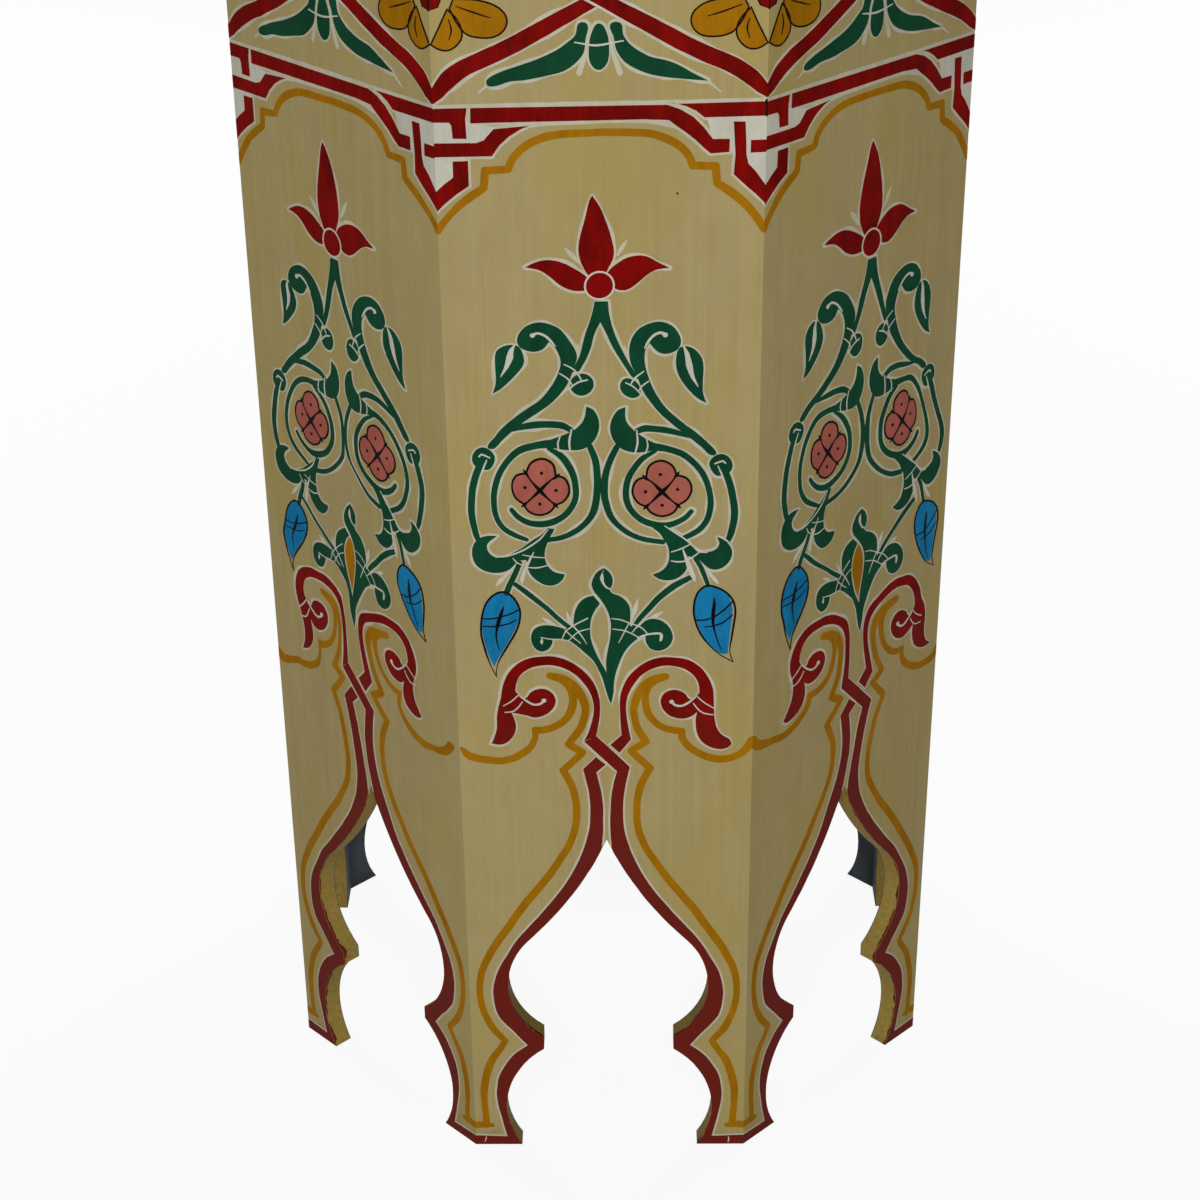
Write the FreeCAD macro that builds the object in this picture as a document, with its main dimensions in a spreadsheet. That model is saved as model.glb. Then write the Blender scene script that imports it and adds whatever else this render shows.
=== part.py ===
import FreeCAD, Part
import Sketcher
import math
import os

# A tall eight-sided side table of painted wood. Eight mitred side panels stand on the floor, each with
# a cusped arch cut into its lower end. Glue blocks hold the corners from inside, and a ring of cleats
# carries the plank top, which is screwed on from below. Millimetres, +Z up, and the origin is on the
# floor in the middle of the table. Every piece is drawn on the +Y side and turned to its place.

SIDES = 8
STEP = 360 / SIDES
FRONT = 180
SAME_PLACE = 0.001
Vector = FreeCAD.Vector

# Driving sizes, each set by itself
SIZES = {
    # side panels, as wide as the octagon's side outside
    "panel_width": 150,
    "panel_height": 690,
    "panel_thickness": 11,
    # cusped arch, as half widths from its middle line and heights above the floor
    "foot_width": 26,
    "cusp_half_width": 35.5,
    "cusp_height": 67,
    "cusp_land": 8,
    "shoulder_half_width": 43,
    "shoulder_height": 139,
    "apex_height": 204,
    "foot_lobe_depth": 14,
    "upper_lobe_depth": 14.6,
    "ogee_depth": 3.8,
    # glue blocks in the corners
    "block_width": 22,
    "block_depth": 14,
    "block_bottom": 260,
    # cleats round the inside of the rim
    "cleat_depth": 16,
    "cleat_height": 22,
    # top, three planks glued edge to edge
    "top_overhang": 22,
    "top_thickness": 20,
    "top_edge_round": 4,
    "middle_plank_width": 136,
    # countersunk wood screws up through the cleats
    "screw_diameter": 3.5,
    "screw_head_diameter": 7,
    "screw_grip": 12,
    "screw_tip": 4,
    "screw_inset": 14,
    # headless pins through blocks and cleats into the panels
    "pin_diameter": 1.6,
    "pin_grip": 5,
    "pin_tip": 2,
    "pin_set": 1,
    "block_pin_edge": 9,
    "block_pin_end": 30,
    # room round a screw or pin, and past its point
    "fastener_clearance": 0.1,
}

# Sizes and places worked out from the driving ones
LAYOUT = {
    "mitre_angle": f"{STEP / 2}",
    "apothem": "sizes.panel_width * (1 + sqrt(2)) / 2",
    "half_width": "sizes.panel_width / 2",
    "inner_apothem": "apothem - sizes.panel_thickness",
    "inner_half": "inner_apothem * (sqrt(2) - 1)",
    "inner_corner": "inner_apothem / cos(mitre_angle)",
    # arch
    "foot_half": "half_width - sizes.foot_width",
    "below_floor": "-sizes.foot_width",
    "cusp_top": "sizes.cusp_height + sizes.cusp_land",
    "foot_chord": "sqrt((foot_half - sizes.cusp_half_width)^2 + sizes.cusp_height^2)",
    "foot_radius": "foot_chord^2 / (8 * sizes.foot_lobe_depth) + sizes.foot_lobe_depth / 2",
    "upper_rise": "sizes.shoulder_height - cusp_top",
    "upper_chord": "sqrt((sizes.shoulder_half_width - sizes.cusp_half_width)^2 + upper_rise^2)",
    "upper_radius": "upper_chord^2 / (8 * sizes.upper_lobe_depth) + sizes.upper_lobe_depth / 2",
    "ogee_rise": "sizes.apex_height - sizes.shoulder_height",
    "ogee_chord": "sqrt(sizes.shoulder_half_width^2 + ogee_rise^2)",
    "ogee_radius": "ogee_chord^2 / (8 * sizes.ogee_depth) + sizes.ogee_depth / 2",
    # glue block: its two long edges on the panels, and its two inner edges
    "block_edge_x": "sizes.block_width * cos(mitre_angle)",
    "block_edge_y": "inner_corner - sizes.block_width * sin(mitre_angle)",
    "block_back_x": "block_edge_x - sizes.block_depth * sin(mitre_angle)",
    "block_back_y": "block_edge_y - sizes.block_depth * cos(mitre_angle)",
    "block_length": "sizes.panel_height - sizes.block_bottom",
    # cleat, from one glue block to the next
    "cleat_half": "inner_half - sizes.block_width",
    "cleat_back": "inner_apothem - sizes.cleat_depth",
    "cleat_bottom": "sizes.panel_height - sizes.cleat_height",
    "cleat_middle": "sizes.panel_height - sizes.cleat_height / 2",
    # top
    "top_apothem": "apothem + sizes.top_overhang",
    "top_half": "top_apothem * (sqrt(2) - 1)",
    "joint": "sizes.middle_plank_width / 2",
    "trim": "top_apothem + sizes.top_overhang",
    # screws
    "screw_radius": "sizes.screw_diameter / 2",
    "screw_head_radius": "sizes.screw_head_diameter / 2",
    "screw_head_height": "screw_head_radius - screw_radius",
    "screw_length": "sizes.cleat_height + sizes.screw_grip",
    "screw_shoulder": "screw_length - sizes.screw_tip",
    "screw_x": "cleat_half - sizes.screw_inset",
    "screw_y": "inner_apothem - sizes.cleat_depth / 2",
    "screw_hole": "screw_radius + sizes.fastener_clearance",
    "screw_sink": "sizes.screw_head_diameter + 2 * sizes.fastener_clearance",
    "screw_pilot": "sizes.screw_grip + sizes.fastener_clearance",
    # pins: one length does for blocks and cleats
    "pin_radius": "sizes.pin_diameter / 2",
    "pin_length": "sizes.cleat_depth - sizes.pin_set + sizes.pin_grip",
    "pin_shoulder": "pin_length - sizes.pin_tip",
    "pin_start": "inner_apothem + sizes.pin_grip - pin_length",
    "pin_hole": "pin_radius + sizes.fastener_clearance",
    "pin_bore": "sizes.pin_grip + sizes.fastener_clearance",
    "block_pin_x": "inner_half - sizes.block_width + sizes.block_pin_edge",
    "block_pin_low": "sizes.block_bottom + sizes.block_pin_end",
    "block_pin_high": "sizes.panel_height - sizes.block_pin_end",
    "block_pin_middle": "(block_pin_low + block_pin_high) / 2",
    "cleat_pin_x": "cleat_half / 3",
}

BLOCK_PIN_ROWS = ("block_pin_low", "block_pin_middle", "block_pin_high")

doc = FreeCAD.newDocument("side_table")
pieces = []


# The two sheets and how the drawings read them


def fill_sheet(name, cells):
    """One row for each cell: its name in column A and its value, with the name as alias, in column B."""
    sheet = doc.addObject("Spreadsheet::Sheet", name)
    for row, (alias, content) in enumerate(cells.items(), start=1):
        sheet.set(f"A{row}", alias)
        sheet.set(f"B{row}", str(content))
        sheet.setAlias(f"B{row}", alias)
    doc.recompute()
    return sheet


def cell(alias):
    """The cell as an expression; a leading minus sign stays in front."""
    sign = "-" if alias.startswith("-") else ""
    plain = alias.lstrip("-")
    return f"{sign}{'sizes' if plain in SIZES else 'layout'}.{plain}"


def read(alias):
    """The cell's number; "0" is nought and a leading minus sign turns it round."""
    plain = alias.lstrip("-")
    if plain == "0":
        return 0.0
    number = float((sizes if plain in SIZES else layout).get(plain))
    return -number if alias.startswith("-") else number


def bind(thing, prop, alias):
    thing.setExpression(prop, cell(alias))


# Sketches


def new_sketch(body, name, role):
    sketch = body.newObject("Sketcher::SketchObject", name)
    plane = [feature for feature in body.Origin.OriginFeatures if feature.Role == role]
    sketch.AttachmentSupport = [(plane[0], "")]
    sketch.MapMode = "FlatFace"
    return sketch


def fix_point(sketch, edge, end, alias, axis):
    """Ties one coordinate of an edge's end point to a cell, or puts the point on the axis line."""
    if alias == "0":
        line = -2 if axis == "X" else -1
        sketch.addConstraint(Sketcher.Constraint("PointOnObject", edge, end, line))
        return
    number = sketch.addConstraint(Sketcher.Constraint(f"Distance{axis}", edge, end, read(alias)))
    bind(sketch, f"Constraints[{number}]", alias)


def bowed_edge(start, finish, radius):
    """An arc between two points; a radius above nought bows to the right of the way along it."""
    way = finish - start
    right = Vector(way.y, -way.x, 0).normalize()
    reach = math.sqrt(radius * radius - way.Length * way.Length / 4)
    centre = (start + finish) / 2 - right * math.copysign(reach, radius)
    circle = Part.Circle(centre, Vector(0, 0, 1), abs(radius))
    first, last = (start, finish) if radius > 0 else (finish, start)
    angles = [math.atan2(point.y - centre.y, point.x - centre.x) for point in (first, last)]
    return Part.ArcOfCircle(circle, angles[0], angles[1])


def draw_outline(sketch, corners):
    """A closed outline. A corner is (x, y) or (x, y, radius of the arc to the next corner), in cells."""
    points = [Vector(read(corner[0]), read(corner[1]), 0) for corner in corners]
    ends = []
    for index, corner in enumerate(corners):
        start = points[index]
        finish = points[(index + 1) % len(points)]
        if len(corner) == 2:
            edge = sketch.addGeometry(Part.LineSegment(start, finish))
            ends.append((edge, 1, 2))
            continue
        radius = read(corner[2])
        edge = sketch.addGeometry(bowed_edge(start, finish, radius))
        ends.append((edge, 1, 2) if radius > 0 else (edge, 2, 1))
    for index, (edge, first, last) in enumerate(ends):
        after, after_first, after_last = ends[(index + 1) % len(ends)]
        sketch.addConstraint(Sketcher.Constraint("Coincident", edge, last, after, after_first))
    for (edge, first, last), corner in zip(ends, corners):
        fix_point(sketch, edge, first, corner[0], "X")
        fix_point(sketch, edge, first, corner[1], "Y")
        if len(corner) == 3:
            radius = corner[2].lstrip("-")
            number = sketch.addConstraint(Sketcher.Constraint("Radius", edge, read(radius)))
            bind(sketch, f"Constraints[{number}]", radius)


def draw_circles(sketch, radius, centres):
    for x, y in centres:
        circle = Part.Circle(Vector(read(x), read(y), 0), Vector(0, 0, 1), read(radius))
        edge = sketch.addGeometry(circle)
        fix_point(sketch, edge, 3, x, "X")
        fix_point(sketch, edge, 3, y, "Y")
        number = sketch.addConstraint(Sketcher.Constraint("Radius", edge, read(radius)))
        bind(sketch, f"Constraints[{number}]", radius)


def mirrored(right_half):
    """The whole outline from its right half, which runs anticlockwise and may touch the middle line."""
    left_half = []
    for index in range(len(right_half) - 1, -1, -1):
        x, y = right_half[index][:2]
        if x == "0":
            continue
        before = right_half[index - 1] if index else ()
        left_half.append((f"-{x}", y) + tuple(before[2:]))
    last = right_half[-1]
    if last[0] == "0" and len(right_half[-2]) == 3:
        right_half = right_half[:-1] + [last[:2] + (right_half[-2][2],)]
    return right_half + left_half


# Features


def pad(body, sketch, length):
    feature = body.newObject("PartDesign::Pad", f"{sketch.Name}_pad")
    feature.Profile = sketch
    bind(feature, "Length", length)
    doc.recompute()
    return feature


def pocket(body, sketch, depth=None, reverse=False):
    """Cuts the sketch through the whole body, or to a depth, and makes sure that it did cut."""
    before = body.Tip.Shape.Volume
    feature = body.newObject("PartDesign::Pocket", f"{sketch.Name}_cut")
    feature.Profile = sketch
    feature.Reversed = reverse
    if depth:
        bind(feature, "Length", depth)
    else:
        feature.Type = "ThroughAll"
    doc.recompute()
    if not feature.Shape.Volume < before:
        raise RuntimeError(f"{feature.Name} cut nothing")
    return feature


def revolve(body, sketch):
    feature = body.newObject("PartDesign::Revolution", f"{sketch.Name}_turned")
    feature.Profile = sketch
    feature.ReferenceAxis = (sketch, ["V_Axis"])
    feature.Angle = 360
    doc.recompute()
    return feature


def new_body(label, turn=0):
    body = doc.addObject("PartDesign::Body", label)
    body.Label = label
    body.Placement = FreeCAD.Placement(Vector(), FreeCAD.Rotation(Vector(0, 0, 1), turn))
    return body


def panel_turn(number):
    return FRONT + STEP * number


def corner_turn(number):
    return panel_turn(number) + STEP / 2


# Side panels


def side_panel(label, turn):
    body = new_body(label, turn)
    board = new_sketch(body, f"{label}_board", "XY_Plane")
    draw_outline(board, mirrored([("inner_half", "inner_apothem"), ("half_width", "apothem")]))
    pad(body, board, "panel_height")

    arch = new_sketch(body, f"{label}_arch", "XZ_Plane")
    draw_outline(arch, mirrored([
        ("foot_half", "below_floor"),
        ("foot_half", "0", "foot_radius"),
        ("cusp_half_width", "cusp_height"),
        ("cusp_half_width", "cusp_top", "upper_radius"),
        ("shoulder_half_width", "shoulder_height", "-ogee_radius"),
        ("0", "apex_height"),
    ]))
    pocket(body, arch)

    bores = new_sketch(body, f"{label}_pin_holes", "XZ_Plane")
    bind(bores, "AttachmentOffset.Base.z", "-inner_apothem")
    centres = [(x, row) for row in BLOCK_PIN_ROWS for x in ("block_pin_x", "-block_pin_x")]
    centres += [("cleat_pin_x", "cleat_middle"), ("-cleat_pin_x", "cleat_middle")]
    draw_circles(bores, "pin_hole", centres)
    pocket(body, bores, depth="pin_bore")
    return body


# Glue blocks in the inside corners


def corner_block(label, turn):
    body = new_body(label, turn)
    section = new_sketch(body, f"{label}_section", "XY_Plane")
    bind(section, "AttachmentOffset.Base.z", "block_bottom")
    draw_outline(section, mirrored([
        ("block_back_x", "block_back_y"),
        ("block_edge_x", "block_edge_y"),
        ("0", "inner_corner"),
    ]))
    pad(body, section, "block_length")

    # Each row of holes is square to one of the two panels that the block joins.
    for side, sign in (("right", -1), ("left", 1)):
        holes = new_sketch(body, f"{label}_{side}_holes", "XZ_Plane")
        turned = FreeCAD.Rotation(Vector(0, 1, 0), sign * STEP / 2)
        holes.AttachmentOffset = FreeCAD.Placement(Vector(), turned)
        x = "block_pin_x" if sign > 0 else "-block_pin_x"
        draw_circles(holes, "pin_hole", [(x, row) for row in BLOCK_PIN_ROWS])
        pocket(body, holes)
    return body


# Cleats that carry the top


def top_cleat(label, turn):
    body = new_body(label, turn)
    section = new_sketch(body, f"{label}_section", "XY_Plane")
    bind(section, "AttachmentOffset.Base.z", "cleat_bottom")
    draw_outline(section, mirrored([("cleat_half", "cleat_back"), ("cleat_half", "inner_apothem")]))
    pad(body, section, "cleat_height")

    holes = new_sketch(body, f"{label}_pin_holes", "XZ_Plane")
    draw_circles(holes, "pin_hole", [("cleat_pin_x", "cleat_middle"), ("-cleat_pin_x", "cleat_middle")])
    pocket(body, holes)

    # The countersunk holes start from the cleat's underside.
    before = body.Tip.Shape.Volume
    screws = new_sketch(body, f"{label}_screw_holes", "XY_Plane")
    bind(screws, "AttachmentOffset.Base.z", "cleat_bottom")
    draw_circles(screws, "screw_hole", [("screw_x", "screw_y"), ("-screw_x", "screw_y")])
    doc.recompute()
    drilled = body.newObject("PartDesign::Hole", f"{label}_drilled")
    drilled.Profile = screws
    drilled.Reversed = True
    drilled.DepthType = "ThroughAll"
    drilled.ThreadType = "None"
    drilled.HoleCutType = "Countersink"
    drilled.HoleCutCustomValues = True
    drilled.HoleCutCountersinkAngle = 90
    drilled.setExpression("Diameter", "2 * layout.screw_hole")
    bind(drilled, "HoleCutDiameter", "screw_sink")
    doc.recompute()
    if not drilled.Shape.Volume < before:
        raise RuntimeError(f"{drilled.Name} cut nothing")
    return body


# Top, three planks glued edge to edge


def outer_edges(shape):
    """Names of the level edges along the top's eight sides, above and below, for rounding."""
    names = []
    for number, edge in enumerate(shape.Edges, start=1):
        ends = [vertex.Point for vertex in edge.Vertexes]
        if len(ends) != 2 or abs(ends[0].z - ends[1].z) > SAME_PLACE:
            continue
        middle = (ends[0] + ends[1]) / 2
        along = (ends[1] - ends[0]).normalize()
        outward = abs(middle.x * along.y - middle.y * along.x)
        if abs(outward - read("top_apothem")) < SAME_PLACE:
            names.append(f"Edge{number}")
    return names


def top_plank(label, cuts):
    """The whole octagon with its screw holes, less what lies beyond this plank's joints."""
    body = new_body(label)
    octagon = new_sketch(body, f"{label}_octagon", "XY_Plane")
    bind(octagon, "AttachmentOffset.Base.z", "panel_height")
    draw_outline(octagon, mirrored([
        ("top_half", "-top_apothem"),
        ("top_apothem", "-top_half"),
        ("top_apothem", "top_half"),
        ("top_half", "top_apothem"),
    ]))
    pad(body, octagon, "top_thickness")

    pilots = new_sketch(body, f"{label}_pilot_holes", "XY_Plane")
    bind(pilots, "AttachmentOffset.Base.z", "panel_height")
    draw_circles(pilots, "screw_hole", [("screw_x", "screw_y"), ("-screw_x", "screw_y")])
    first = pocket(body, pilots, depth="screw_pilot", reverse=True)
    ring = body.newObject("PartDesign::PolarPattern", f"{label}_pilot_ring")
    ring.Originals = [first]
    ring.Axis = ([axis for axis in body.Origin.OriginFeatures if axis.Role == "Z_Axis"][0], [""])
    ring.Angle = 360
    ring.Occurrences = SIDES
    body.Tip = ring
    doc.recompute()

    joints = new_sketch(body, f"{label}_joints", "XY_Plane")
    bind(joints, "AttachmentOffset.Base.z", "panel_height")
    for near, far in cuts:
        draw_outline(joints, [(near, "-trim"), (far, "-trim"), (far, "trim"), (near, "trim")])
    trimmed = pocket(body, joints, reverse=True)

    rounded = body.newObject("PartDesign::Fillet", f"{label}_rounded")
    rounded.Base = (trimmed, outer_edges(trimmed.Shape))
    bind(rounded, "Radius", "top_edge_round")
    doc.recompute()
    return body


# Fasteners, drawn once with the point upwards and copied to their places


def turned_pin(name, profile):
    body = new_body(name)
    outline = new_sketch(body, f"{name}_outline", "XZ_Plane")
    draw_outline(outline, profile)
    revolve(body, outline)
    return body.Shape


def group(label, shape, places):
    """Copies of one fastener, as separate solids of one piece."""
    copies = []
    for place in places:
        copy = shape.copy()
        copy.Placement = place
        copies.append(copy)
    feature = doc.addObject("Part::Feature", label)
    feature.Label = label
    feature.Shape = Part.makeCompound(copies)
    feature.Placement = FreeCAD.Placement()
    return feature


def on_each_side(spots, tilt):
    """Places at these spots of every panel; tilt is the fastener's own turn before the panel's."""
    places = []
    for number in range(SIDES):
        turn = FreeCAD.Placement(Vector(), FreeCAD.Rotation(Vector(0, 0, 1), panel_turn(number)))
        places += [turn.multiply(FreeCAD.Placement(Vector(*spot), tilt)) for spot in spots]
    return places


# The assembly

sizes = fill_sheet("sizes", SIZES)
layout = fill_sheet("layout", {alias: f"={formula}" for alias, formula in LAYOUT.items()})

for side in range(SIDES):
    pieces.append(side_panel(f"side_panel_{side + 1}", panel_turn(side)))
    pieces.append(corner_block(f"corner_block_{side + 1}", corner_turn(side)))
    pieces.append(top_cleat(f"top_cleat_{side + 1}", panel_turn(side)))

pieces.append(top_plank("top_plank_left", [("-joint", "trim")]))
pieces.append(top_plank("top_plank_middle", [("-trim", "-joint"), ("joint", "trim")]))
pieces.append(top_plank("top_plank_right", [("-trim", "joint")]))

wood_screw = turned_pin("wood_screw", [
    ("0", "0"),
    ("screw_head_radius", "0"),
    ("screw_radius", "screw_head_height"),
    ("screw_radius", "screw_shoulder"),
    ("0", "screw_length"),
])
panel_pin = turned_pin("panel_pin", [
    ("0", "0"),
    ("pin_radius", "0"),
    ("pin_radius", "pin_shoulder"),
    ("0", "pin_length"),
])

upright = FreeCAD.Rotation()
outward = FreeCAD.Rotation(Vector(1, 0, 0), -90)
both = (-1, 1)
screw_spots = [(side * read("screw_x"), read("screw_y"), read("cleat_bottom")) for side in both]
pieces.append(group("top_screws", wood_screw, on_each_side(screw_spots, upright)))
block_spots = [
    (side * read("block_pin_x"), read("pin_start"), read(row)) for row in BLOCK_PIN_ROWS for side in both
]
pieces.append(group("block_pins", panel_pin, on_each_side(block_spots, outward)))
cleat_spots = [(side * read("cleat_pin_x"), read("pin_start"), read("cleat_middle")) for side in both]
pieces.append(group("cleat_pins", panel_pin, on_each_side(cleat_spots, outward)))

doc.recompute()

# Every object has to be sound before anything is written.
for thing in doc.Objects:
    if "Invalid" in thing.State or "Error" in thing.State:
        raise RuntimeError(f"{thing.Name} failed: {thing.State}")
for piece in pieces:
    if piece.Shape.isNull() or not piece.Shape.isValid() or not piece.Shape.Solids:
        raise RuntimeError(f"{piece.Label} has no sound shape")

os.makedirs("parts", exist_ok=True)
for piece in pieces:
    piece.Shape.exportStep(f"parts/{piece.Label}.step")
    print(f"{piece.Label}: {len(piece.Shape.Solids)} solids, {piece.Shape.Volume / 1000:.1f} cm3")
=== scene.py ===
import math
import random
from functools import cached_property

import bmesh
import bpy
from mathutils import Matrix, Vector, noise
from mathutils.geometry import convex_hull_2d, delaunay_2d_cdt, interpolate_bezier


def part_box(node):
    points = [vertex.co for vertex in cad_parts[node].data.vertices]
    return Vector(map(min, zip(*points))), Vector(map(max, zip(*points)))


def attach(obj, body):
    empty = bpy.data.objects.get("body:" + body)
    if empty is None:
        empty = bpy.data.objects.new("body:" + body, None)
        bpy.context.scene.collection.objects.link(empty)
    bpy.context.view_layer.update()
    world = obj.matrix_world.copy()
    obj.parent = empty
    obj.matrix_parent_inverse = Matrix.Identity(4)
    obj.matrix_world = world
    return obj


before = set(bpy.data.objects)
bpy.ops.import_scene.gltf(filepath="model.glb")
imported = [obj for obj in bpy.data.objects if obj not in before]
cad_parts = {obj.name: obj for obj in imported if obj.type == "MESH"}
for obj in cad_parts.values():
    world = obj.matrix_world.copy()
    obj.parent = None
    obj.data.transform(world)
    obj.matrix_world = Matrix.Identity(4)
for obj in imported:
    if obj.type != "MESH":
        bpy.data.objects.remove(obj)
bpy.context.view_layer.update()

bl_info = {
    "name": "Painted eight-sided side table",
    "version": (1, 0, 0),
    "blender": (4, 5, 0),
    "location": "3D View > Sidebar > Table",
    "description": "Paints the packed table: ground coats, brushed ornament on every side, and the stage",
    "category": "Object",
}

# Frame sizes, in metres as the frame has them

FRONT_LOW, FRONT_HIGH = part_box("side_panel_1")
PLANK_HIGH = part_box("top_plank_middle")[1]
SIDES = 8
ALL_SIDES = range(SIDES)
TURN = 2 * math.pi / SIDES
APOTHEM = -FRONT_LOW[1]
HALF_WIDTH = FRONT_HIGH[0]
PANEL_TOP = FRONT_HIGH[2]
PANEL_DEPTH = FRONT_HIGH[1] - FRONT_LOW[1]
TABLE_TOP = PLANK_HIGH[2]
TOP_APOTHEM = PLANK_HIGH[1]
MM = 0.001
EDGE = HALF_WIDTH / MM

# Arch cut in each side, in millimetres, as in the solids: (half width, height, bow of the run to the next)

ARCH_RUNS = [
    (49.0, 0.0, 14.0), (35.5, 67.0, 0.0), (35.5, 75.0, 14.6), (43.0, 139.0, -3.8), (0.0, 204.0, 0.0)]


def srgb(red, green, blue):
    """Linear colour of a paint given as 0 to 255 screen values."""
    def linear(value):
        value /= 255
        return value / 12.92 if value <= 0.04045 else ((value + 0.055) / 1.055) ** 2.4
    return linear(red), linear(green), linear(blue)


# Settings a user would change

def paint(name, description, *colour):
    return bpy.props.FloatVectorProperty(
        name=name, description=description, default=srgb(*colour), size=3, subtype="COLOR", min=0, max=1)


def number(name, description, default, **limits):
    return bpy.props.FloatProperty(name=name, description=description, default=default, **limits)


def length(name, description, default):
    return number(name, description, default, unit="LENGTH", min=0, precision=5)


def degrees(name, description, default):
    return number(name, description, math.radians(default), subtype="ANGLE")


def watts(name, description, default):
    return number(name, description, default, min=0, subtype="POWER")


class TablePaints(bpy.types.PropertyGroup):
    """Paint colours."""
    ground: paint("Ground", "Sand-coloured ground coat of sides and top", 163, 147, 101)
    ground_thin: paint("Thin ground", "Ground coat where it was brushed thin", 146, 130, 82)
    red: paint("Red", "Flowers, scrolls and knotted band", 122, 6, 2)
    madder: paint("Madder", "The red as it dried low on the arch borders", 98, 30, 22)
    green: paint("Green", "Stems, rings and leaves", 14, 64, 41)
    ochre: paint("Ochre", "Scalloped lines", 156, 105, 6)
    orange: paint("Orange", "Corner flowers of the frieze", 156, 104, 4)
    blue: paint("Blue", "Hanging leaves", 22, 118, 166)
    pink: paint("Pink", "Four-lobed blossoms", 165, 90, 77)
    white: paint("White", "Ties, glints and knot grounds", 192, 189, 174)
    rim: paint("Rim white", "Thin white drawn round the painted shapes", 186, 181, 159)
    black: paint("Black", "Fine outlines and veins", 9, 8, 9)
    cut_edge: paint("Cut edge", "Mustard wash on the sawn edges", 157, 134, 68)
    inside: paint("Inside", "Dark thin coat inside", 88, 95, 101)
    bare: paint("Bare wood", "Unpainted softwood of blocks and cleats", 150, 112, 72)
    steel: paint("Steel", "Screws and pins", 128, 126, 122)


class TableBrush(bpy.types.PropertyGroup):
    """Brushwork sizes."""
    rim: length("Rim", "White left showing round a painted shape", 1.1 * MM)
    coat: length("Coat", "Thickness of one coat of paint", 0.035 * MM)
    tremor: length("Tremor", "Small waver of every painted edge", 0.22 * MM)
    stray: length("Stray", "How far motifs stray on sides that were drawn freely", 3.0 * MM)
    step: length("Step", "Spacing of points along a painted edge", 1.5 * MM)
    seed: bpy.props.IntProperty(
        name="Seed", description="Start of the tremor and of the stray on the free sides", default=11, min=1)


class TableStage(bpy.types.PropertyGroup):
    """Camera and light."""
    eye: bpy.props.FloatVectorProperty(
        name="Eye", description="Where the camera stands", default=(0.0117, -1.2578, 0.9168), size=3,
        subtype="TRANSLATION", unit="LENGTH")
    pitch: degrees("Pitch", "Camera's fall below level", 27.93)
    yaw: degrees("Yaw", "Camera's turn to the left", 0.74)
    roll: degrees("Roll", "Camera's tilt about its own axis", -0.6)
    lens: number("Lens", "Focal length on a 36 mm sensor", 73.7, min=1, subtype="DISTANCE_CAMERA")
    key: watts("Key", "Strength of the front light", 71.0)
    back: watts("Back", "Strength of each light behind", 62.0)
    fill: number("Fill", "Strength of the even light all round", 0.06, min=0)


def paints():
    return bpy.context.scene.table_paints


def brush():
    return bpy.context.scene.table_brush


# Shader building

class Value:
    """A shader number that Python's own operators work on."""

    def __init__(self, finish, socket):
        self.finish = finish
        self.socket = socket

    def math(self, operation, *terms):
        return self.finish.value("ShaderNodeMath", 0, {"operation": operation}, dict(enumerate(terms)))

    def __add__(self, other):
        return self.math("ADD", self, other)

    __radd__ = __add__

    def __sub__(self, other):
        return self.math("SUBTRACT", self, other)

    def __rsub__(self, other):
        return self.math("SUBTRACT", other, self)

    def __mul__(self, other):
        return self.math("MULTIPLY", self, other)

    __rmul__ = __mul__

    def __abs__(self):
        return self.math("ABSOLUTE", self)

    def __lt__(self, other):
        return self.math("LESS_THAN", self, other)

    def __gt__(self, other):
        return self.math("GREATER_THAN", self, other)

    def at_least(self, other):
        return self.math("MAXIMUM", self, other)

    def ramp(self, low, high):
        """0 up to low, 1 from high, smooth between."""
        return self.finish.value(
            "ShaderNodeMapRange", 0, {"interpolation_type": "SMOOTHSTEP"},
            {"Value": self, "From Min": low, "From Max": high})


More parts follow.
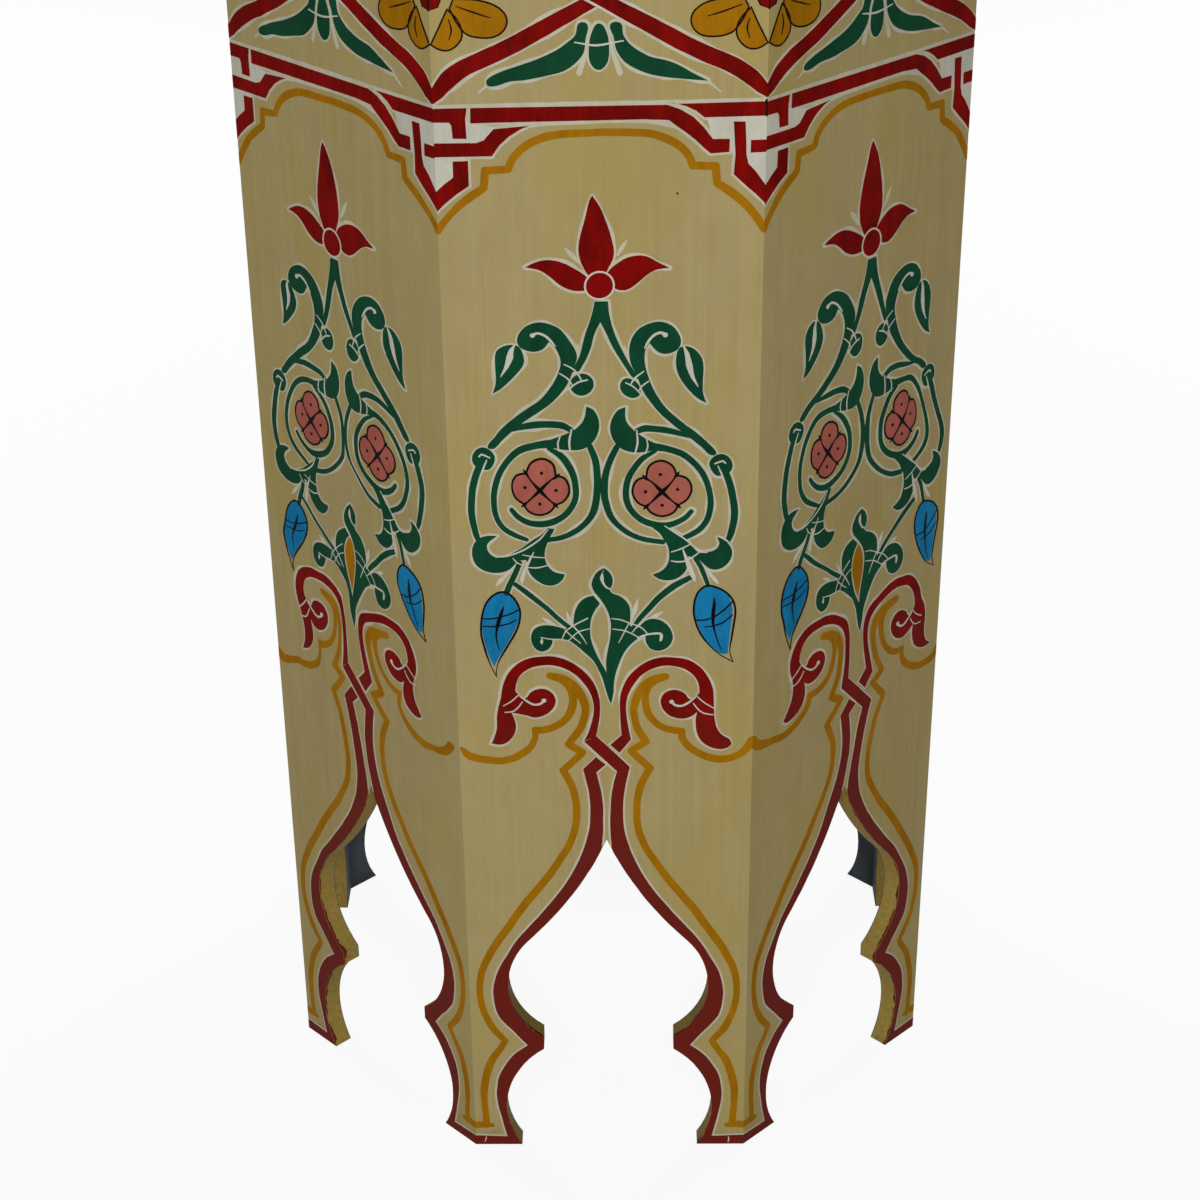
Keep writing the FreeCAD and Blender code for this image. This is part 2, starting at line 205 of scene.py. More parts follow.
class Finish:
    """Node tree of one finish, or of the studio's world, read from Object coordinates."""

    def __init__(self, name, home=None):
        self.home = home or bpy.data.materials.new(name)
        self.home.use_nodes = True
        self.tree = self.home.node_tree
        self.tree.nodes.clear()

    @cached_property
    def point(self):
        return self.node("ShaderNodeTexCoord").outputs["Object"]

    def value(self, kind, output, settings=None, inputs=None):
        return Value(self, self.node(kind, settings, inputs).outputs[output])

    def node(self, kind, settings=None, inputs=None):
        node = self.tree.nodes.new(kind)
        for key, value in (settings or {}).items():
            setattr(node, key, value)
        for key, value in (inputs or {}).items():
            socket = value.socket if isinstance(value, Value) else value
            if isinstance(socket, bpy.types.NodeSocket):
                self.tree.links.new(socket, node.inputs[key])
            elif node.inputs[key].type == "RGBA":
                node.inputs[key].default_value = (*socket[:3], 1)
            else:
                node.inputs[key].default_value = socket
        return node

    def noise(self, across, along, detail=3, rough=0.5):
        """Noise with its own fineness across and along an upright board, in waves per metre."""
        return self.grain((across, across, along), detail, rough)

    def grain(self, fineness, detail, rough=0.5):
        """Noise with its own fineness along each axis, in waves per metre."""
        spot = self.node("ShaderNodeVectorMath", {"operation": "MULTIPLY"}, {0: self.point, 1: fineness})
        return self.value(
            "ShaderNodeTexNoise", 0, {},
            {"Vector": spot.outputs[0], "Scale": 1.0, "Detail": detail, "Roughness": rough})

    def axes(self):
        parts = self.node("ShaderNodeSeparateXYZ", {}, {0: self.point})
        return [Value(self, output) for output in parts.outputs]

    def mix(self, factor, first, second, blend="MIX"):
        node = self.node(
            "ShaderNodeMix", {"data_type": "RGBA", "blend_type": blend, "clamp_factor": True},
            {0: factor, 6: first, 7: second})
        return node.outputs[2]

    def shade(self, colour, factor):
        """The colour times a grey value."""
        grey = self.node("ShaderNodeCombineColor", {}, {0: factor, 1: factor, 2: factor}).outputs[0]
        return self.mix(1.0, colour, grey, "MULTIPLY")

    def surface(self, colour, roughness, height, bump=0.2, depth=0.4 * MM, specular=0.03, metallic=0.0):
        """Closes the tree with a bumped surface and hands back what it belongs to."""
        normal = self.node(
            "ShaderNodeBump", {}, {"Strength": bump, "Distance": depth, "Height": height}).outputs[0]
        shader = self.node("ShaderNodeBsdfPrincipled", {}, {
            "Base Color": colour, "Roughness": roughness, "Metallic": metallic,
            "Specular IOR Level": specular, "Normal": normal})
        self.node("ShaderNodeOutputMaterial", {}, {"Surface": shader.outputs[0]})
        return self.home

    def shown(self):
        """1 where the eye, a gloss or clear glass looks at the surface, 0 for the light it sends on."""
        rays = self.node("ShaderNodeLightPath").outputs
        seen = Value(self, rays["Is Camera Ray"])
        for kind in ("Is Glossy Ray", "Is Transmission Ray"):
            seen = seen.at_least(Value(self, rays[kind]))
        return seen


# Tints that age gave the ground coat and the sawn edges

YELLOWED = srgb(160, 141, 74)
GREYED = srgb(152, 136, 104)
EDGE_DIRT = srgb(122, 101, 42)
EDGE_FADE = srgb(146, 136, 88)

# How deep the paints reach into a panel's edge: ground coat outside, dark coat inside, red lapped over

GROUND_SKIN = 0.15 * MM
INSIDE_SKIN = 0.4 * MM
LAP_REACH = 7.5 * MM

# Heights on the sides: top of the lapped red, where madder turns to red, top of the scuffed feet

LAP_TOP = 206 * MM
MADDER_TO_RED = (190 * MM, 330 * MM)
SCUFF_TOP = 20 * MM

# The red rim of the top starts this far below its face and stops this far above the panels

RIM_START = 1.2 * MM
RIM_STOP = 0.8 * MM

# Share of its colour that each paint of the ornament keeps where it lies thick

DEEP_SHARES = {
    "green": 0.72, "ochre": 0.78, "orange": 0.8, "blue": 0.72, "pink": 0.8, "white": 0.86, "rim": 0.84,
    "black": 0.7, "red": 0.55,
}


def wall_depth(finish):
    """How far a point lies behind the table's eight-sided outside, in metres."""
    x, y, _ = finish.axes()
    x = abs(x)
    y = abs(y)
    reach = x.at_least(y).at_least((x + y) * math.sqrt(0.5))
    return APOTHEM - reach


def darker(colour, factor):
    return tuple(channel * factor for channel in colour)


def ground_coat(finish):
    """Sand ground brushed up and down, thin in places, with the grain showing through."""
    colours = paints()
    broad = finish.noise(11, 3, 2)
    streak = finish.noise(260, 5, 3)
    hair = finish.noise(900, 14, 2)
    cloud = finish.noise(75, 45, 4, 0.6)
    thin = (streak * 0.32 + broad * 0.3 + hair * 0.32 + cloud * 0.36 - 0.15).ramp(0.33, 0.72)
    colour = finish.mix(thin * 0.62, colours.ground, colours.ground_thin)
    yellowed = finish.noise(30, 12, 3).ramp(0.45, 0.68)
    colour = finish.mix(yellowed * 0.4, colour, YELLOWED)
    greyed = finish.noise(20, 9, 3).ramp(0.5, 0.7)
    colour = finish.mix(greyed * 0.3, colour, GREYED)
    return colour, streak * 0.6 + hair * 0.4


def dark_coat(finish, wash):
    """Thin dark coat of the inside, darkest where the wash is high."""
    inside = paints().inside
    return finish.mix(wash.ramp(0.3, 0.75), inside, darker(inside, 0.3))


def painted_board():
    """Side panel: ground outside, mustard wash on the sawn edges with red lapped over, dark inside."""
    finish = Finish("painted_board")
    colours = paints()
    outside, height = ground_coat(finish)
    depth = wall_depth(finish)
    z = finish.axes()[2]
    grit = finish.noise(420, 420, 4, 0.7)
    patch = finish.noise(60, 60, 3)
    edge = finish.mix(grit.ramp(0.36, 0.7) * 0.55, colours.cut_edge, EDGE_DIRT)
    edge = finish.mix(patch.ramp(0.55, 0.75) * 0.6, edge, EDGE_FADE)
    lap = (finish.noise(90, 90, 4, 0.6) - 0.36) * LAP_REACH
    edge = finish.mix((depth < lap) * (z < LAP_TOP), edge, colours.madder)
    inside = dark_coat(finish, finish.noise(34, 8, 4, 0.6))
    colour = finish.mix(depth > GROUND_SKIN, outside, edge)
    colour = finish.mix(depth > PANEL_DEPTH - INSIDE_SKIN, colour, inside)
    scuff = finish.noise(120, 120, 4, 0.6)
    colour = finish.shade(colour, 1 - (1 - z.ramp(0.0, SCUFF_TOP)) * scuff.ramp(0.45, 0.7) * 0.35)
    return finish.surface(colour, 0.5 + height * 0.2, height, 0.45)


def painted_plank():
    """Top plank: ground coat above, red on the rounded rim, dark below."""
    finish = Finish("painted_plank")
    colours = paints()
    z = finish.axes()[2]
    grain = finish.grain((90, 5, 40), 4)
    colour = finish.mix(grain.ramp(0.35, 0.75), colours.ground, colours.ground_thin)
    rim = finish.mix(finish.noise(60, 60, 3).ramp(0.35, 0.75), colours.red, colours.madder)
    colour = finish.mix(z < TABLE_TOP - RIM_START, colour, rim)
    below = dark_coat(finish, finish.noise(30, 30, 3))
    colour = finish.mix(z < PANEL_TOP + RIM_STOP, colour, below)
    return finish.surface(colour, 0.48 + grain * 0.2, grain)


def bare_softwood():
    """Glue blocks and cleats: softwood with a thin dark wash."""
    finish = Finish("bare_softwood")
    colours = paints()
    rings = finish.noise(120, 9, 4, 0.6)
    wash = finish.noise(26, 26, 3)
    colour = finish.mix(rings.ramp(0.35, 0.7), colours.bare, darker(colours.bare, 0.6))
    colour = finish.mix(wash.ramp(0.3, 0.7) * 0.8, colour, colours.inside)
    return finish.surface(colour, 0.65 + rings * 0.2, rings, 0.3)


def dull_steel():
    """Screws and pins: plain steel, tarnished."""
    finish = Finish("dull_steel")
    steel = paints().steel
    tarnish = finish.noise(900, 900, 3)
    colour = finish.mix(tarnish.ramp(0.4, 0.7), steel, darker(steel, 0.5))
    return finish.surface(colour, 0.35 + tarnish * 0.3, tarnish, 0.1, 0.1 * MM, specular=0.5, metallic=1.0)


def brushed_paint(name):
    """A paint of the ornament, made once: brush streaks, thick and thin patches, a little sheen."""
    made = bpy.data.materials.get(f"{name}_paint")
    if made:
        return made
    finish = Finish(f"{name}_paint")
    colours = paints()
    colour = getattr(colours, name)
    streak = finish.noise(210, 60, 3, 0.6)
    cloud = finish.noise(38, 30, 3)
    patches = (streak * 0.5 + cloud * 0.5).ramp(0.36, 0.64)
    tone = finish.mix(patches, colour, darker(colour, DEEP_SHARES[name]))
    roughness = 0.46
    if name == "red":
        z = finish.axes()[2]
        tone = finish.mix(z.ramp(*MADDER_TO_RED), colours.madder, tone)
        roughness = 0.44
    return finish.surface(tone, roughness + cloud * 0.2, streak, 0.3, 0.3 * MM)


# Drawing on the flat, in millimetres: u across a side from its middle line, z up from the floor

# Each coat has its paint and the number of coats it stands above the ground

COATS = {
    "rim": ("rim", 1), "ground": ("white", 2), "ochre": ("ochre", 3), "orange": ("orange", 3),
    "red": ("red", 4), "blue": ("blue", 4), "pink": ("pink", 4), "green": ("green", 5),
    "chalk": ("white", 6), "ball": ("red", 7), "black": ("black", 8),
}

# Painted in this order: a later piece lies a hair above an earlier one where they meet

ORDER = (
    "arch_borders", "ochre_lines", "palmette_almonds", "palmettes", "green_stems", "ring_leaves",
    "pink_blossoms", "blue_leaves", "red_flowers", "knotted_band", "frieze", "paint_chips", "top_ornament",
)


def mirrored(points):
    return [(-point[0], *point[1:]) for point in points]


def flow(points, closed=False):
    """Smooth run through points (u, z, width or 0, 1 at a sharp turn), as (u, z, width)."""
    knots = [(Vector(point[:2]), point[2], len(point) > 3) for point in points]
    count = len(knots)
    step = brush().step / MM

    def heading(index):
        if knots[index][2] or (not closed and index in (0, count - 1)):
            return None
        return (knots[(index + 1) % count][0] - knots[index - 1][0]).normalized()

    run = []
    for index in range(count if closed else count - 1):
        here, width, _ = knots[index]
        there, width_next, _ = knots[(index + 1) % count]
        reach = (there - here).length
        lead, trail = heading(index), heading((index + 1) % count)
        first = here + (lead * reach / 3 if lead else (there - here) / 3)
        second = there - (trail * reach / 3 if trail else (there - here) / 3)
        parts = max(2, math.ceil(reach / step))
        curve = interpolate_bezier(here, first, second, there, parts + 1)
        for part, spot in enumerate(curve[:-1]):
            run.append((spot.x, spot.y, width + (width_next - width) * part / parts))
    if not closed:
        run.append((knots[-1][0].x, knots[-1][0].y, knots[-1][1]))
    return run


def outline(points, closed=True):
    """Smooth outline, or an open stretch of one; a point's third value of 1 marks a sharp corner."""
    knots = [(*point[:2], 0, 1) if len(point) > 2 else (*point, 0) for point in points]
    return [spot[:2] for spot in flow(knots, closed)]


def disc(u, z, radius, parts=12):
    angles = [2 * math.pi * part / parts for part in range(parts)]
    return [(u + radius * math.cos(angle), z + radius * math.sin(angle)) for angle in angles]


def sides_of(loop):
    """Each corner of a loop with the next one."""
    return zip(loop, [*loop[1:], *loop[:1]])


# A stroke thinner than the first width, in millimetres, is left out; one thinner than the second ends square

LEAST_WIDTH = 0.02
LEAST_ROUND = 0.3

# Cosine of a turn between two steps of a stroke, below which it gets a round joint

SHARP_TURN = 0.85


def ribbon(run, closed=False):
    """Loops that cover a brush stroke: one four-sided loop for each short step, and round ends."""
    spots = [Vector(spot[:2]) for spot in run]
    widths = [spot[2] for spot in run]
    count = len(spots)
    normals = []
    for index in range(count):
        before = spots[index - 1] if index or closed else spots[0]
        after = spots[(index + 1) % count] if index < count - 1 or closed else spots[-1]
        along = (after - before).normalized()
        normals.append(Vector((-along.y, along.x)))
    loops = []
    for index in range(count if closed else count - 1):
        other = (index + 1) % count
        here, there = normals[index] * widths[index] / 2, normals[other] * widths[other] / 2
        if here.length + there.length > LEAST_WIDTH:
            corners = [spots[index] + here, spots[index] - here, spots[other] - there, spots[other] + there]
            loops.append([corners[corner] for corner in convex_hull_2d(corners)])
    ends = [] if closed else [0, count - 1]
    for index in range(count):
        bend = normals[index].dot(normals[index - 1]) if index or closed else 1
        if (index in ends or bend < SHARP_TURN) and widths[index] > LEAST_ROUND:
            loops.append(disc(*spots[index], widths[index] / 2))
    return [[tuple(spot) for spot in loop] for loop in loops]


def trimmed(loop, limit):
    """The part of a loop no farther than the limit from the middle line."""
    for sign in (1, -1):
        kept = []
        for here, there in sides_of(loop):
            inside, next_inside = sign * here[0] <= limit, sign * there[0] <= limit
            if inside:
                kept.append(here)
            if inside != next_inside:
                share = (sign * limit - here[0]) / (there[0] - here[0])
                kept.append((sign * limit, here[1] + (there[1] - here[1]) * share))
        loop = kept
    return loop


# Smallest area of a loop that is kept, in square millimetres, and the number of parts of a round dot

LEAST_AREA = 1e-4
DOT_PARTS = 24

# White rims: share of the set width that is usual, how much it swells, its limits, the length of a swell

RIM_USUAL = 0.95
RIM_SWELL = 1.1
RIM_LEAST = 0.3
RIM_MOST = 1.5
SWELL_RUN = 10

# How far a white rim slips off its shape, and the length over which that changes, in millimetres

RIM_SLIP = 0.35
SLIP_RUN = 22


class Sheet:
    """One motif as it is brushed on a side: loops sorted by coat, trimmed at the board's edges."""

    def __init__(self, both=False, limit=EDGE):
        self.coats = {}
        self.both = both
        self.limit = limit
        noise.seed_set(brush().seed)

    def halves(self, points, both):
        """The points and, where both halves of the side have the shape, their mirror image."""
        if both is None:
            both = self.both
        return [points, mirrored(points)] if both else [points]

    def loop(self, coat, points):
        points = trimmed(points, self.limit)
        area = sum(here[0] * there[1] - there[0] * here[1] for here, there in sides_of(points))
        if abs(area) > LEAST_AREA:
            self.coats.setdefault(coat, []).append(points if area > 0 else points[::-1])

    def trail(self, coat, run, closed=False):
        """Brush drawn along a run of (u, z, width)."""
        for loop in ribbon(run, closed):
            self.loop(coat, loop)

    def halo(self, run, rim, closed=False):
        """White drawn round a run, fuller and thinner by turns and not quite in register."""
        spots = []
        for u, z, width in run:
            swell = RIM_USUAL + RIM_SWELL * noise.noise(Vector((u / SWELL_RUN, z / SWELL_RUN, 4.2)))
            slip = noise.noise_vector(Vector((u / SLIP_RUN, z / SLIP_RUN, 9.1))) * RIM_SLIP
            share = min(RIM_MOST, max(RIM_LEAST, swell))
            spots.append((u + slip.x, z + slip.y, width + 2 * rim * share))
        self.trail("rim", spots, closed)

    def stroke(self, coat, points, rim=None, both=None, full=1.0):
        """Stroke through (u, z, width), with a fourth value at a sharp turn; full widens a loaded brush."""
        for side in self.halves(points, both):
            run = [(u, z, width * full) for u, z, width in flow(side)]
            self.trail(coat, run)
            if rim:
                self.halo(run, rim)

    def blot(self, coat, points, rim=None, line=None, both=None, smooth=True):
        """Filled outline with a white rim, a black line, or neither."""
        for side in self.halves(points, both):
            edge = outline(side) if smooth else [point[:2] for point in side]
            self.loop(coat, edge)
            if rim:
                self.loop("rim", edge)
                self.halo([(u, z, 0) for u, z in edge], rim, True)
            if line:
                self.trail("black", [(u, z, line) for u, z in edge], True)

    def dot(self, coat, u, z, radius, rim=None, both=None):
        for (middle,) in self.halves([(u, z)], both):
            self.loop(coat, disc(*middle, radius, DOT_PARTS))
            if rim:
                self.loop("rim", disc(*middle, radius + rim, DOT_PARTS))


def holds(loop, spot):
    """True if the spot lies inside the loop."""
    inside = False
    for (u, z), (next_u, next_z) in sides_of(loop):
        if (z > spot.y) != (next_z > spot.y) and spot.x < u + (next_u - u) * (spot.y - z) / (next_z - z):
            inside = not inside
    return inside


# Points this close become one, in millimetres: where a coat's loops overlap, and along its whole edge

LOOP_WELD = 1e-4
EDGE_WELD = 1e-6


def merged(loops):
    """Flat triangles that cover all the loops of a coat once, as points and index triples."""
    points, faces = [], []
    for loop in loops:
        faces.append(list(range(len(points), len(points) + len(loop))))
        points += [Vector(spot) for spot in loop]
    spots, _, triangles, _, _, owners = delaunay_2d_cdt(points, [], faces, 0, LOOP_WELD)
    covered = set()
    for triangle, owner in zip(triangles, owners):
        middle = sum((spots[index] for index in triangle), Vector((0, 0))) / 3
        if any(holds(loops[index], middle) for index in owner):
            covered.update(sides_of(triangle))
    rim = [(a, b) for a, b in covered if (b, a) not in covered]
    used = sorted({index for side in rim for index in side})
    order = {index: place for place, index in enumerate(used)}
    rim = sorted((order[a], order[b]) for a, b in rim)
    points = [spots[index] for index in used]
    spots, edges, triangles, _, sources, _ = delaunay_2d_cdt(points, rim, [], 0, EDGE_WELD)
    walls = set()
    for (a, b), given in zip(edges, sources):
        for source in given:
            start, end = (points[index] for index in rim[source])
            walls.add((a, b) if (spots[b] - spots[a]).dot(end - start) > 0 else (b, a))
    owner = {side: index for index, triangle in enumerate(triangles) for side in sides_of(triangle)}
    found = {owner[side] for side in walls if side in owner}
    queue = sorted(found)
    while queue:
        for a, b in sides_of(triangles[queue.pop()]):
            other = owner.get((b, a), -1)
            if other >= 0 and other not in found and (a, b) not in walls and (b, a) not in walls:
                found.add(other)
                queue.append(other)
    return spots, [triangles[index] for index in sorted(found)]


# The painter's hand on each side

# Strays of the three sides in the photo, read off it: (u, z, stray across, stray up), in millimetres

STRAYS = {
    0: [
        (-26, 490, -3, 0), (-49, 455, -3, 5.5), (-12, 457, 3.8, 5.6), (-57, 420, -0.5, 4.3),
        (-9, 442, 0, 2.5), (-28, 405, -2.7, 0.7), (-50, 300, 2.5, 1), (-28, 312, 3, 1), (-8, 285, 4.6, 0),
        (-40, 286, 2, 1.5), (-62, 261, 7, 2.5), (-60, 250, 4, 1.5), (-20, 255, 0.5, -1), (28, 405, 0, 0),
        (20, 480, 0, 0), (45, 460, 0, 0), (30, 300, 0, 0), (8, 285, 0, 0), (55, 260, 0, 0), (20, 255, 0, 0),
        (0, 520, 0, 0), (-20, 515, 0, 0), (20, 515, 0, 0), (-3, 550, 0, 1.5),
    ],
    7: [
        (0, 511, -3.4, 1.5), (-4, 550, -2.5, 10), (32, 520, -3.6, -1.5), (-32, 520, -2, 2),
        (26, 490, -4, -1), (-26, 490, -5, 1.5), (12, 457, -7, 5), (-12, 457, 1, 4), (9, 445, -6, 0),
        (-9, 445, -1, 2.5), (49, 455, -3, -1), (-49, 455, 0.5, 7), (57, 420, -8, -2), (-57, 420, 2, 7),
        (28, 405, -6.9, 2.9), (-28, 405, -2.8, 5.7), (54, 375, -11, -1), (-54, 375, 1, 7.4),
        (24, 362, -8, 1), (-20, 360, -2, 3.5), (0, 362, -2, 12), (0, 325, -4, 14), (3, 288, -9, 16),
        (28, 325, -6.5, 4), (-31, 325, 1, 10), (50, 348, -14, -2), (-50, 348, 3, 9), (64, 312, -12, 3),
        (-56, 305, -1, 15), (31, 312, -11, 2.5), (-31, 312, -2, 9), (34, 287, -10.6, 3.4),
        (-34, 287, 0.7, 9.6), (60, 262, -15, 5), (-60, 262, 8, 9), (0, 257, -6.8, 7.9), (20, 255, -6, 4),
        (-20, 255, -5, 5), (60, 251, -9, 5), (-60, 251, 6, 9.5), (0, 222, -5, 4),
    ],
    1: [
        (0, 511, 4, 0.5), (-4, 550, 5, 10), (32, 520, 5, 0), (-32, 520, 3.5, -1), (26, 490, 6, 0.5),
        (-26, 490, 2, 1), (12, 457, 1, 5.5), (-12, 457, 9, 6), (9, 445, 1.5, 1.5), (-9, 445, 6, 1.5),
        (49, 455, 4, -1.5), (-49, 455, 5, 2.5), (57, 420, -4, 9), (-57, 420, 9, 8.5), (28, 405, 6, 2.5),
        (-28, 405, 4, 3.5), (54, 375, 6, 2), (-54, 375, 8, 3.5), (23, 361, 7, -1), (-19, 361, 2.5, 2),
        (0, 362, 5.5, 6), (0, 325, 5, 8), (3, 288, 4.5, 11), (28, 325, 6.5, 5), (-31, 323, 8, 3),
        (50, 350, 4.5, 1.5), (-50, 350, 5.5, 1.5), (62, 312, 3, 2.5), (-56, 305, 7, 5), (31, 312, 8, 1.5),
        (-31, 312, 9, 1.5), (34, 287, 6, 0), (-34, 287, 8.5, 2.4), (60, 262, 4.5, 3), (-60, 262, 9, 4),
        (0, 257, 8, 2.5), (20, 255, 8, 0), (-20, 255, 6, 0), (60, 251, 2, 3), (-60, 251, 4, 3),
        (0, 222, 6, 1),
    ],
}

# Places that stray on the other sides, and the range in which a whole side's drawing is moved up or down

STRAY_SPOTS = [
    (0, 520), (30, 515), (-30, 515), (25, 485), (-25, 485), (45, 460), (-45, 460), (0, 450), (55, 420),
    (-55, 420), (28, 405), (-28, 405), (55, 370), (-55, 370), (55, 330), (-55, 330), (0, 350), (0, 300),
    (28, 325), (-28, 325), (30, 300), (-30, 300), (55, 262), (-55, 262), (0, 257),
]
SIDE_LIFT = (-3, 9)

# Spread of those places across and up, as shares of the set stray

SPREAD_ACROSS = 0.6
SPREAD_UP = 0.7

# Reach of one stray, as a length squared, and the pull that holds a point where it was drawn

STRAY_SPREAD = 320
STRAY_REST = 0.02

# Heights over which the strays set in and die out again

STRAYS_SET_IN = (190, 232)
STRAYS_DIE_OUT = (556, 582)

# Below the first heights and above the second, lines run on round the corners, so they don't stray there

MEET_BELOW = (266, 290)
MEET_ABOVE = (512, 536)
NEAR_CORNER = (EDGE - 12, EDGE - 1)

# Wave lengths of the hand's tremor and of its slow sway, and how far it sways

TREMOR_LENGTH = 9
SWAY_LENGTH = 45
SWAY = 0.5

# Strips along a side's edges and at the feet in which the tremor dies out

STEADY_EDGE = 5
STEADY_FOOT = 6

# How far the knotted band hangs below the drawing at each corner, counted from the front's left one

BAND_DROPS = (3.2, 0.9, -0.5, 0, 0, 0, 0, 0.8)

# Band: height of its foot amid a side, how much lower that is at the corners, its head, and its easing

BAND_FOOT = 560
BAND_DIP = 22
BAND_HEAD = 600
BAND_EASE = 14


def eased(value, low, high):
    share = min(1.0, max(0.0, (value - low) / (high - low)))
    return share * share * (3 - 2 * share)


class Hand:
    """Where the painter's hand put a point of the drawing on one side."""

    def __init__(self, side, from_front=False):
        self.side = side
        settings = brush()
        self.tremor = settings.tremor / MM
        self.anchors = [] if from_front and side == 0 else STRAYS.get(side)
        if self.anchors is None:
            dice = random.Random(settings.seed * 100 + side)
            reach = settings.stray / MM
            lift = dice.uniform(*SIDE_LIFT)
            self.anchors = [
                (u, z, dice.gauss(0, reach * SPREAD_ACROSS), lift + dice.gauss(0, reach * SPREAD_UP))
                for u, z in STRAY_SPOTS]

    def stray(self, u, z):
        """How far the strays near a point carry it, across and up."""
        across = up = 0.0
        total = STRAY_REST
        for spot_u, spot_z, stray_u, stray_z in self.anchors:
            weight = math.exp(-((u - spot_u) ** 2 + (z - spot_z) ** 2) / STRAY_SPREAD)
            total += weight
            across += weight * stray_u
            up += weight * stray_z
        return across / total, up / total

    def wave(self, u, z, length, slice_step):
        """Smooth noise of a wave length; every side reads its own slice of it."""
        return noise.noise_vector(Vector((u / length, z / length, self.side * slice_step)))

    def band_drop(self, u, z):
        """How far the knotted band hangs below the drawing at a point."""
        left, right = BAND_DROPS[self.side], BAND_DROPS[(self.side + 1) % SIDES]
        drop = left + (right - left) * (u + EDGE) / (2 * EDGE)
        foot = BAND_FOOT - BAND_DIP * abs(u) / EDGE
        return drop * (eased(z, foot, foot + BAND_EASE) * (1 - eased(z, BAND_HEAD, BAND_HEAD + BAND_EASE)))

    def put(self, u, z):
        meeting = max(1 - eased(z, *MEET_BELOW), eased(z, *MEET_ABOVE))
        free = eased(z, *STRAYS_SET_IN) * (1 - eased(z, *STRAYS_DIE_OUT))
        free *= 1 - meeting * eased(abs(u), *NEAR_CORNER)
        across = up = 0.0
        if free > 0:
            across, up = self.stray(u, z)
            across *= free
            up *= free
        loose = 1 - eased(abs(u), EDGE - STEADY_EDGE, EDGE)
        loose *= eased(z, 0, STEADY_FOOT)
        tremble = self.wave(u, z, TREMOR_LENGTH, 3.7) * self.tremor * loose
        sway = self.wave(u, z, SWAY_LENGTH, 5.3) * SWAY * free
        return u + across + tremble.x + sway.x, z + up + tremble.y + sway.y - self.band_drop(u, z)


def on_side(side, u, z):
    """Place on a side's face of a point of the drawing, in metres."""
    angle = side * TURN
    across = Vector((math.cos(angle), math.sin(angle), 0))
    out = Vector((math.sin(angle), -math.cos(angle), 0))
    return out * APOTHEM + across * (u * MM) + Vector((0, 0, z * MM))


def facing(place):
    """Outward direction of the side a place lies on."""
    angle = round(math.atan2(place.x, -place.y) / TURN) * TURN
    return Vector((math.sin(angle), -math.cos(angle), 0))


def upward(_):
    return Vector((0, 0, 1))


def piece_of(name, bm, coats):
    """Object of a finished bmesh, with its paints, riding on the table."""
    mesh = bpy.data.meshes.new(name)
    bm.to_mesh(mesh)
    bm.free()
    for paint_name in coats:
        mesh.materials.append(brushed_paint(paint_name))
    piece = bpy.data.objects.new(name, mesh)
    bpy.context.scene.collection.objects.link(piece)
    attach(piece, "root")


# Share of a coat by which each piece stands above the one painted before it

PIECE_STEP = 0.07


def lay(name, drawings, place, outward):
    """Brushes each sheet on the copies it is paired with: every coat is a thin closed layer on the wood."""
    whole = bmesh.new()
    names = []
    coats = [(coat, loops, copies) for sheet, copies in drawings for coat, loops in sheet.coats.items()]
    for coat, loops, copies in coats:
        paint_name, height = COATS[coat]
        if paint_name not in names:
            names.append(paint_name)
        spots, triangles = merged(loops)
        layer = bmesh.new()
        for copy in copies:
            verts = [layer.verts.new(place(copy, spot.x, spot.y)) for spot in spots]
            for triangle in triangles:
                layer.faces.new([verts[index] for index in triangle])
        raised = bmesh.ops.extrude_face_region(layer, geom=layer.faces[:], use_keep_orig=True)["geom"]
        for vert in raised:
            if isinstance(vert, bmesh.types.BMVert):
                vert.co += outward(vert.co) * brush().coat * (height + PIECE_STEP * ORDER.index(name))
        for face in layer.faces:
            face.material_index = names.index(paint_name)
        part = bpy.data.meshes.new("layer")
        layer.to_mesh(part)
        layer.free()
        whole.from_mesh(part)
        bpy.data.meshes.remove(part)
    bmesh.ops.recalc_face_normals(whole, faces=whole.faces[:])
    piece_of(name, whole, names)


def brush_sides(name, *drawings, from_front=False):
    """Brushes sheets, each paired with its sides; from_front marks sheets drawn as the front has them."""
    hands = [Hand(side, from_front) for side in ALL_SIDES]

    def place(side, u, z):
        return on_side(side, *hands[side].put(u, z))

    lay(name, drawings, place, facing)


# Motifs

# The painted edge of the arch stops at this height, just short of its point; parts of each bowed run

ARCH_STOP = 198
ARC_PARTS = 20


def arch_edge():
    """Right half of the arch from the foot to just short of its point."""
    edge = []
    for (u, z, bow), (next_u, next_z, _) in zip(ARCH_RUNS, ARCH_RUNS[1:]):
        here, there = Vector((u, z)), Vector((next_u, next_z))
        chord = (there - here).length
        if not bow:
            edge.append((u, z))
            continue
        out = Vector((there.y - here.y, here.x - there.x)).normalized()
        radius = chord * chord / (8 * abs(bow)) + abs(bow) / 2
        centre = (here + there) / 2 - out * math.copysign(radius - abs(bow), bow)
        start = here - centre
        sweep = 2 * math.asin(chord / 2 / radius) * math.copysign(1, bow)
        for part in range(ARC_PARTS):
            spot = centre + Matrix.Rotation(sweep * part / ARC_PARTS, 2) @ start
            edge.append(tuple(spot))
    return [spot for spot in edge if spot[1] < ARCH_STOP]


# Scroll beside the arch point: its rise, its curl, and the tails that the painter gave it from side to side

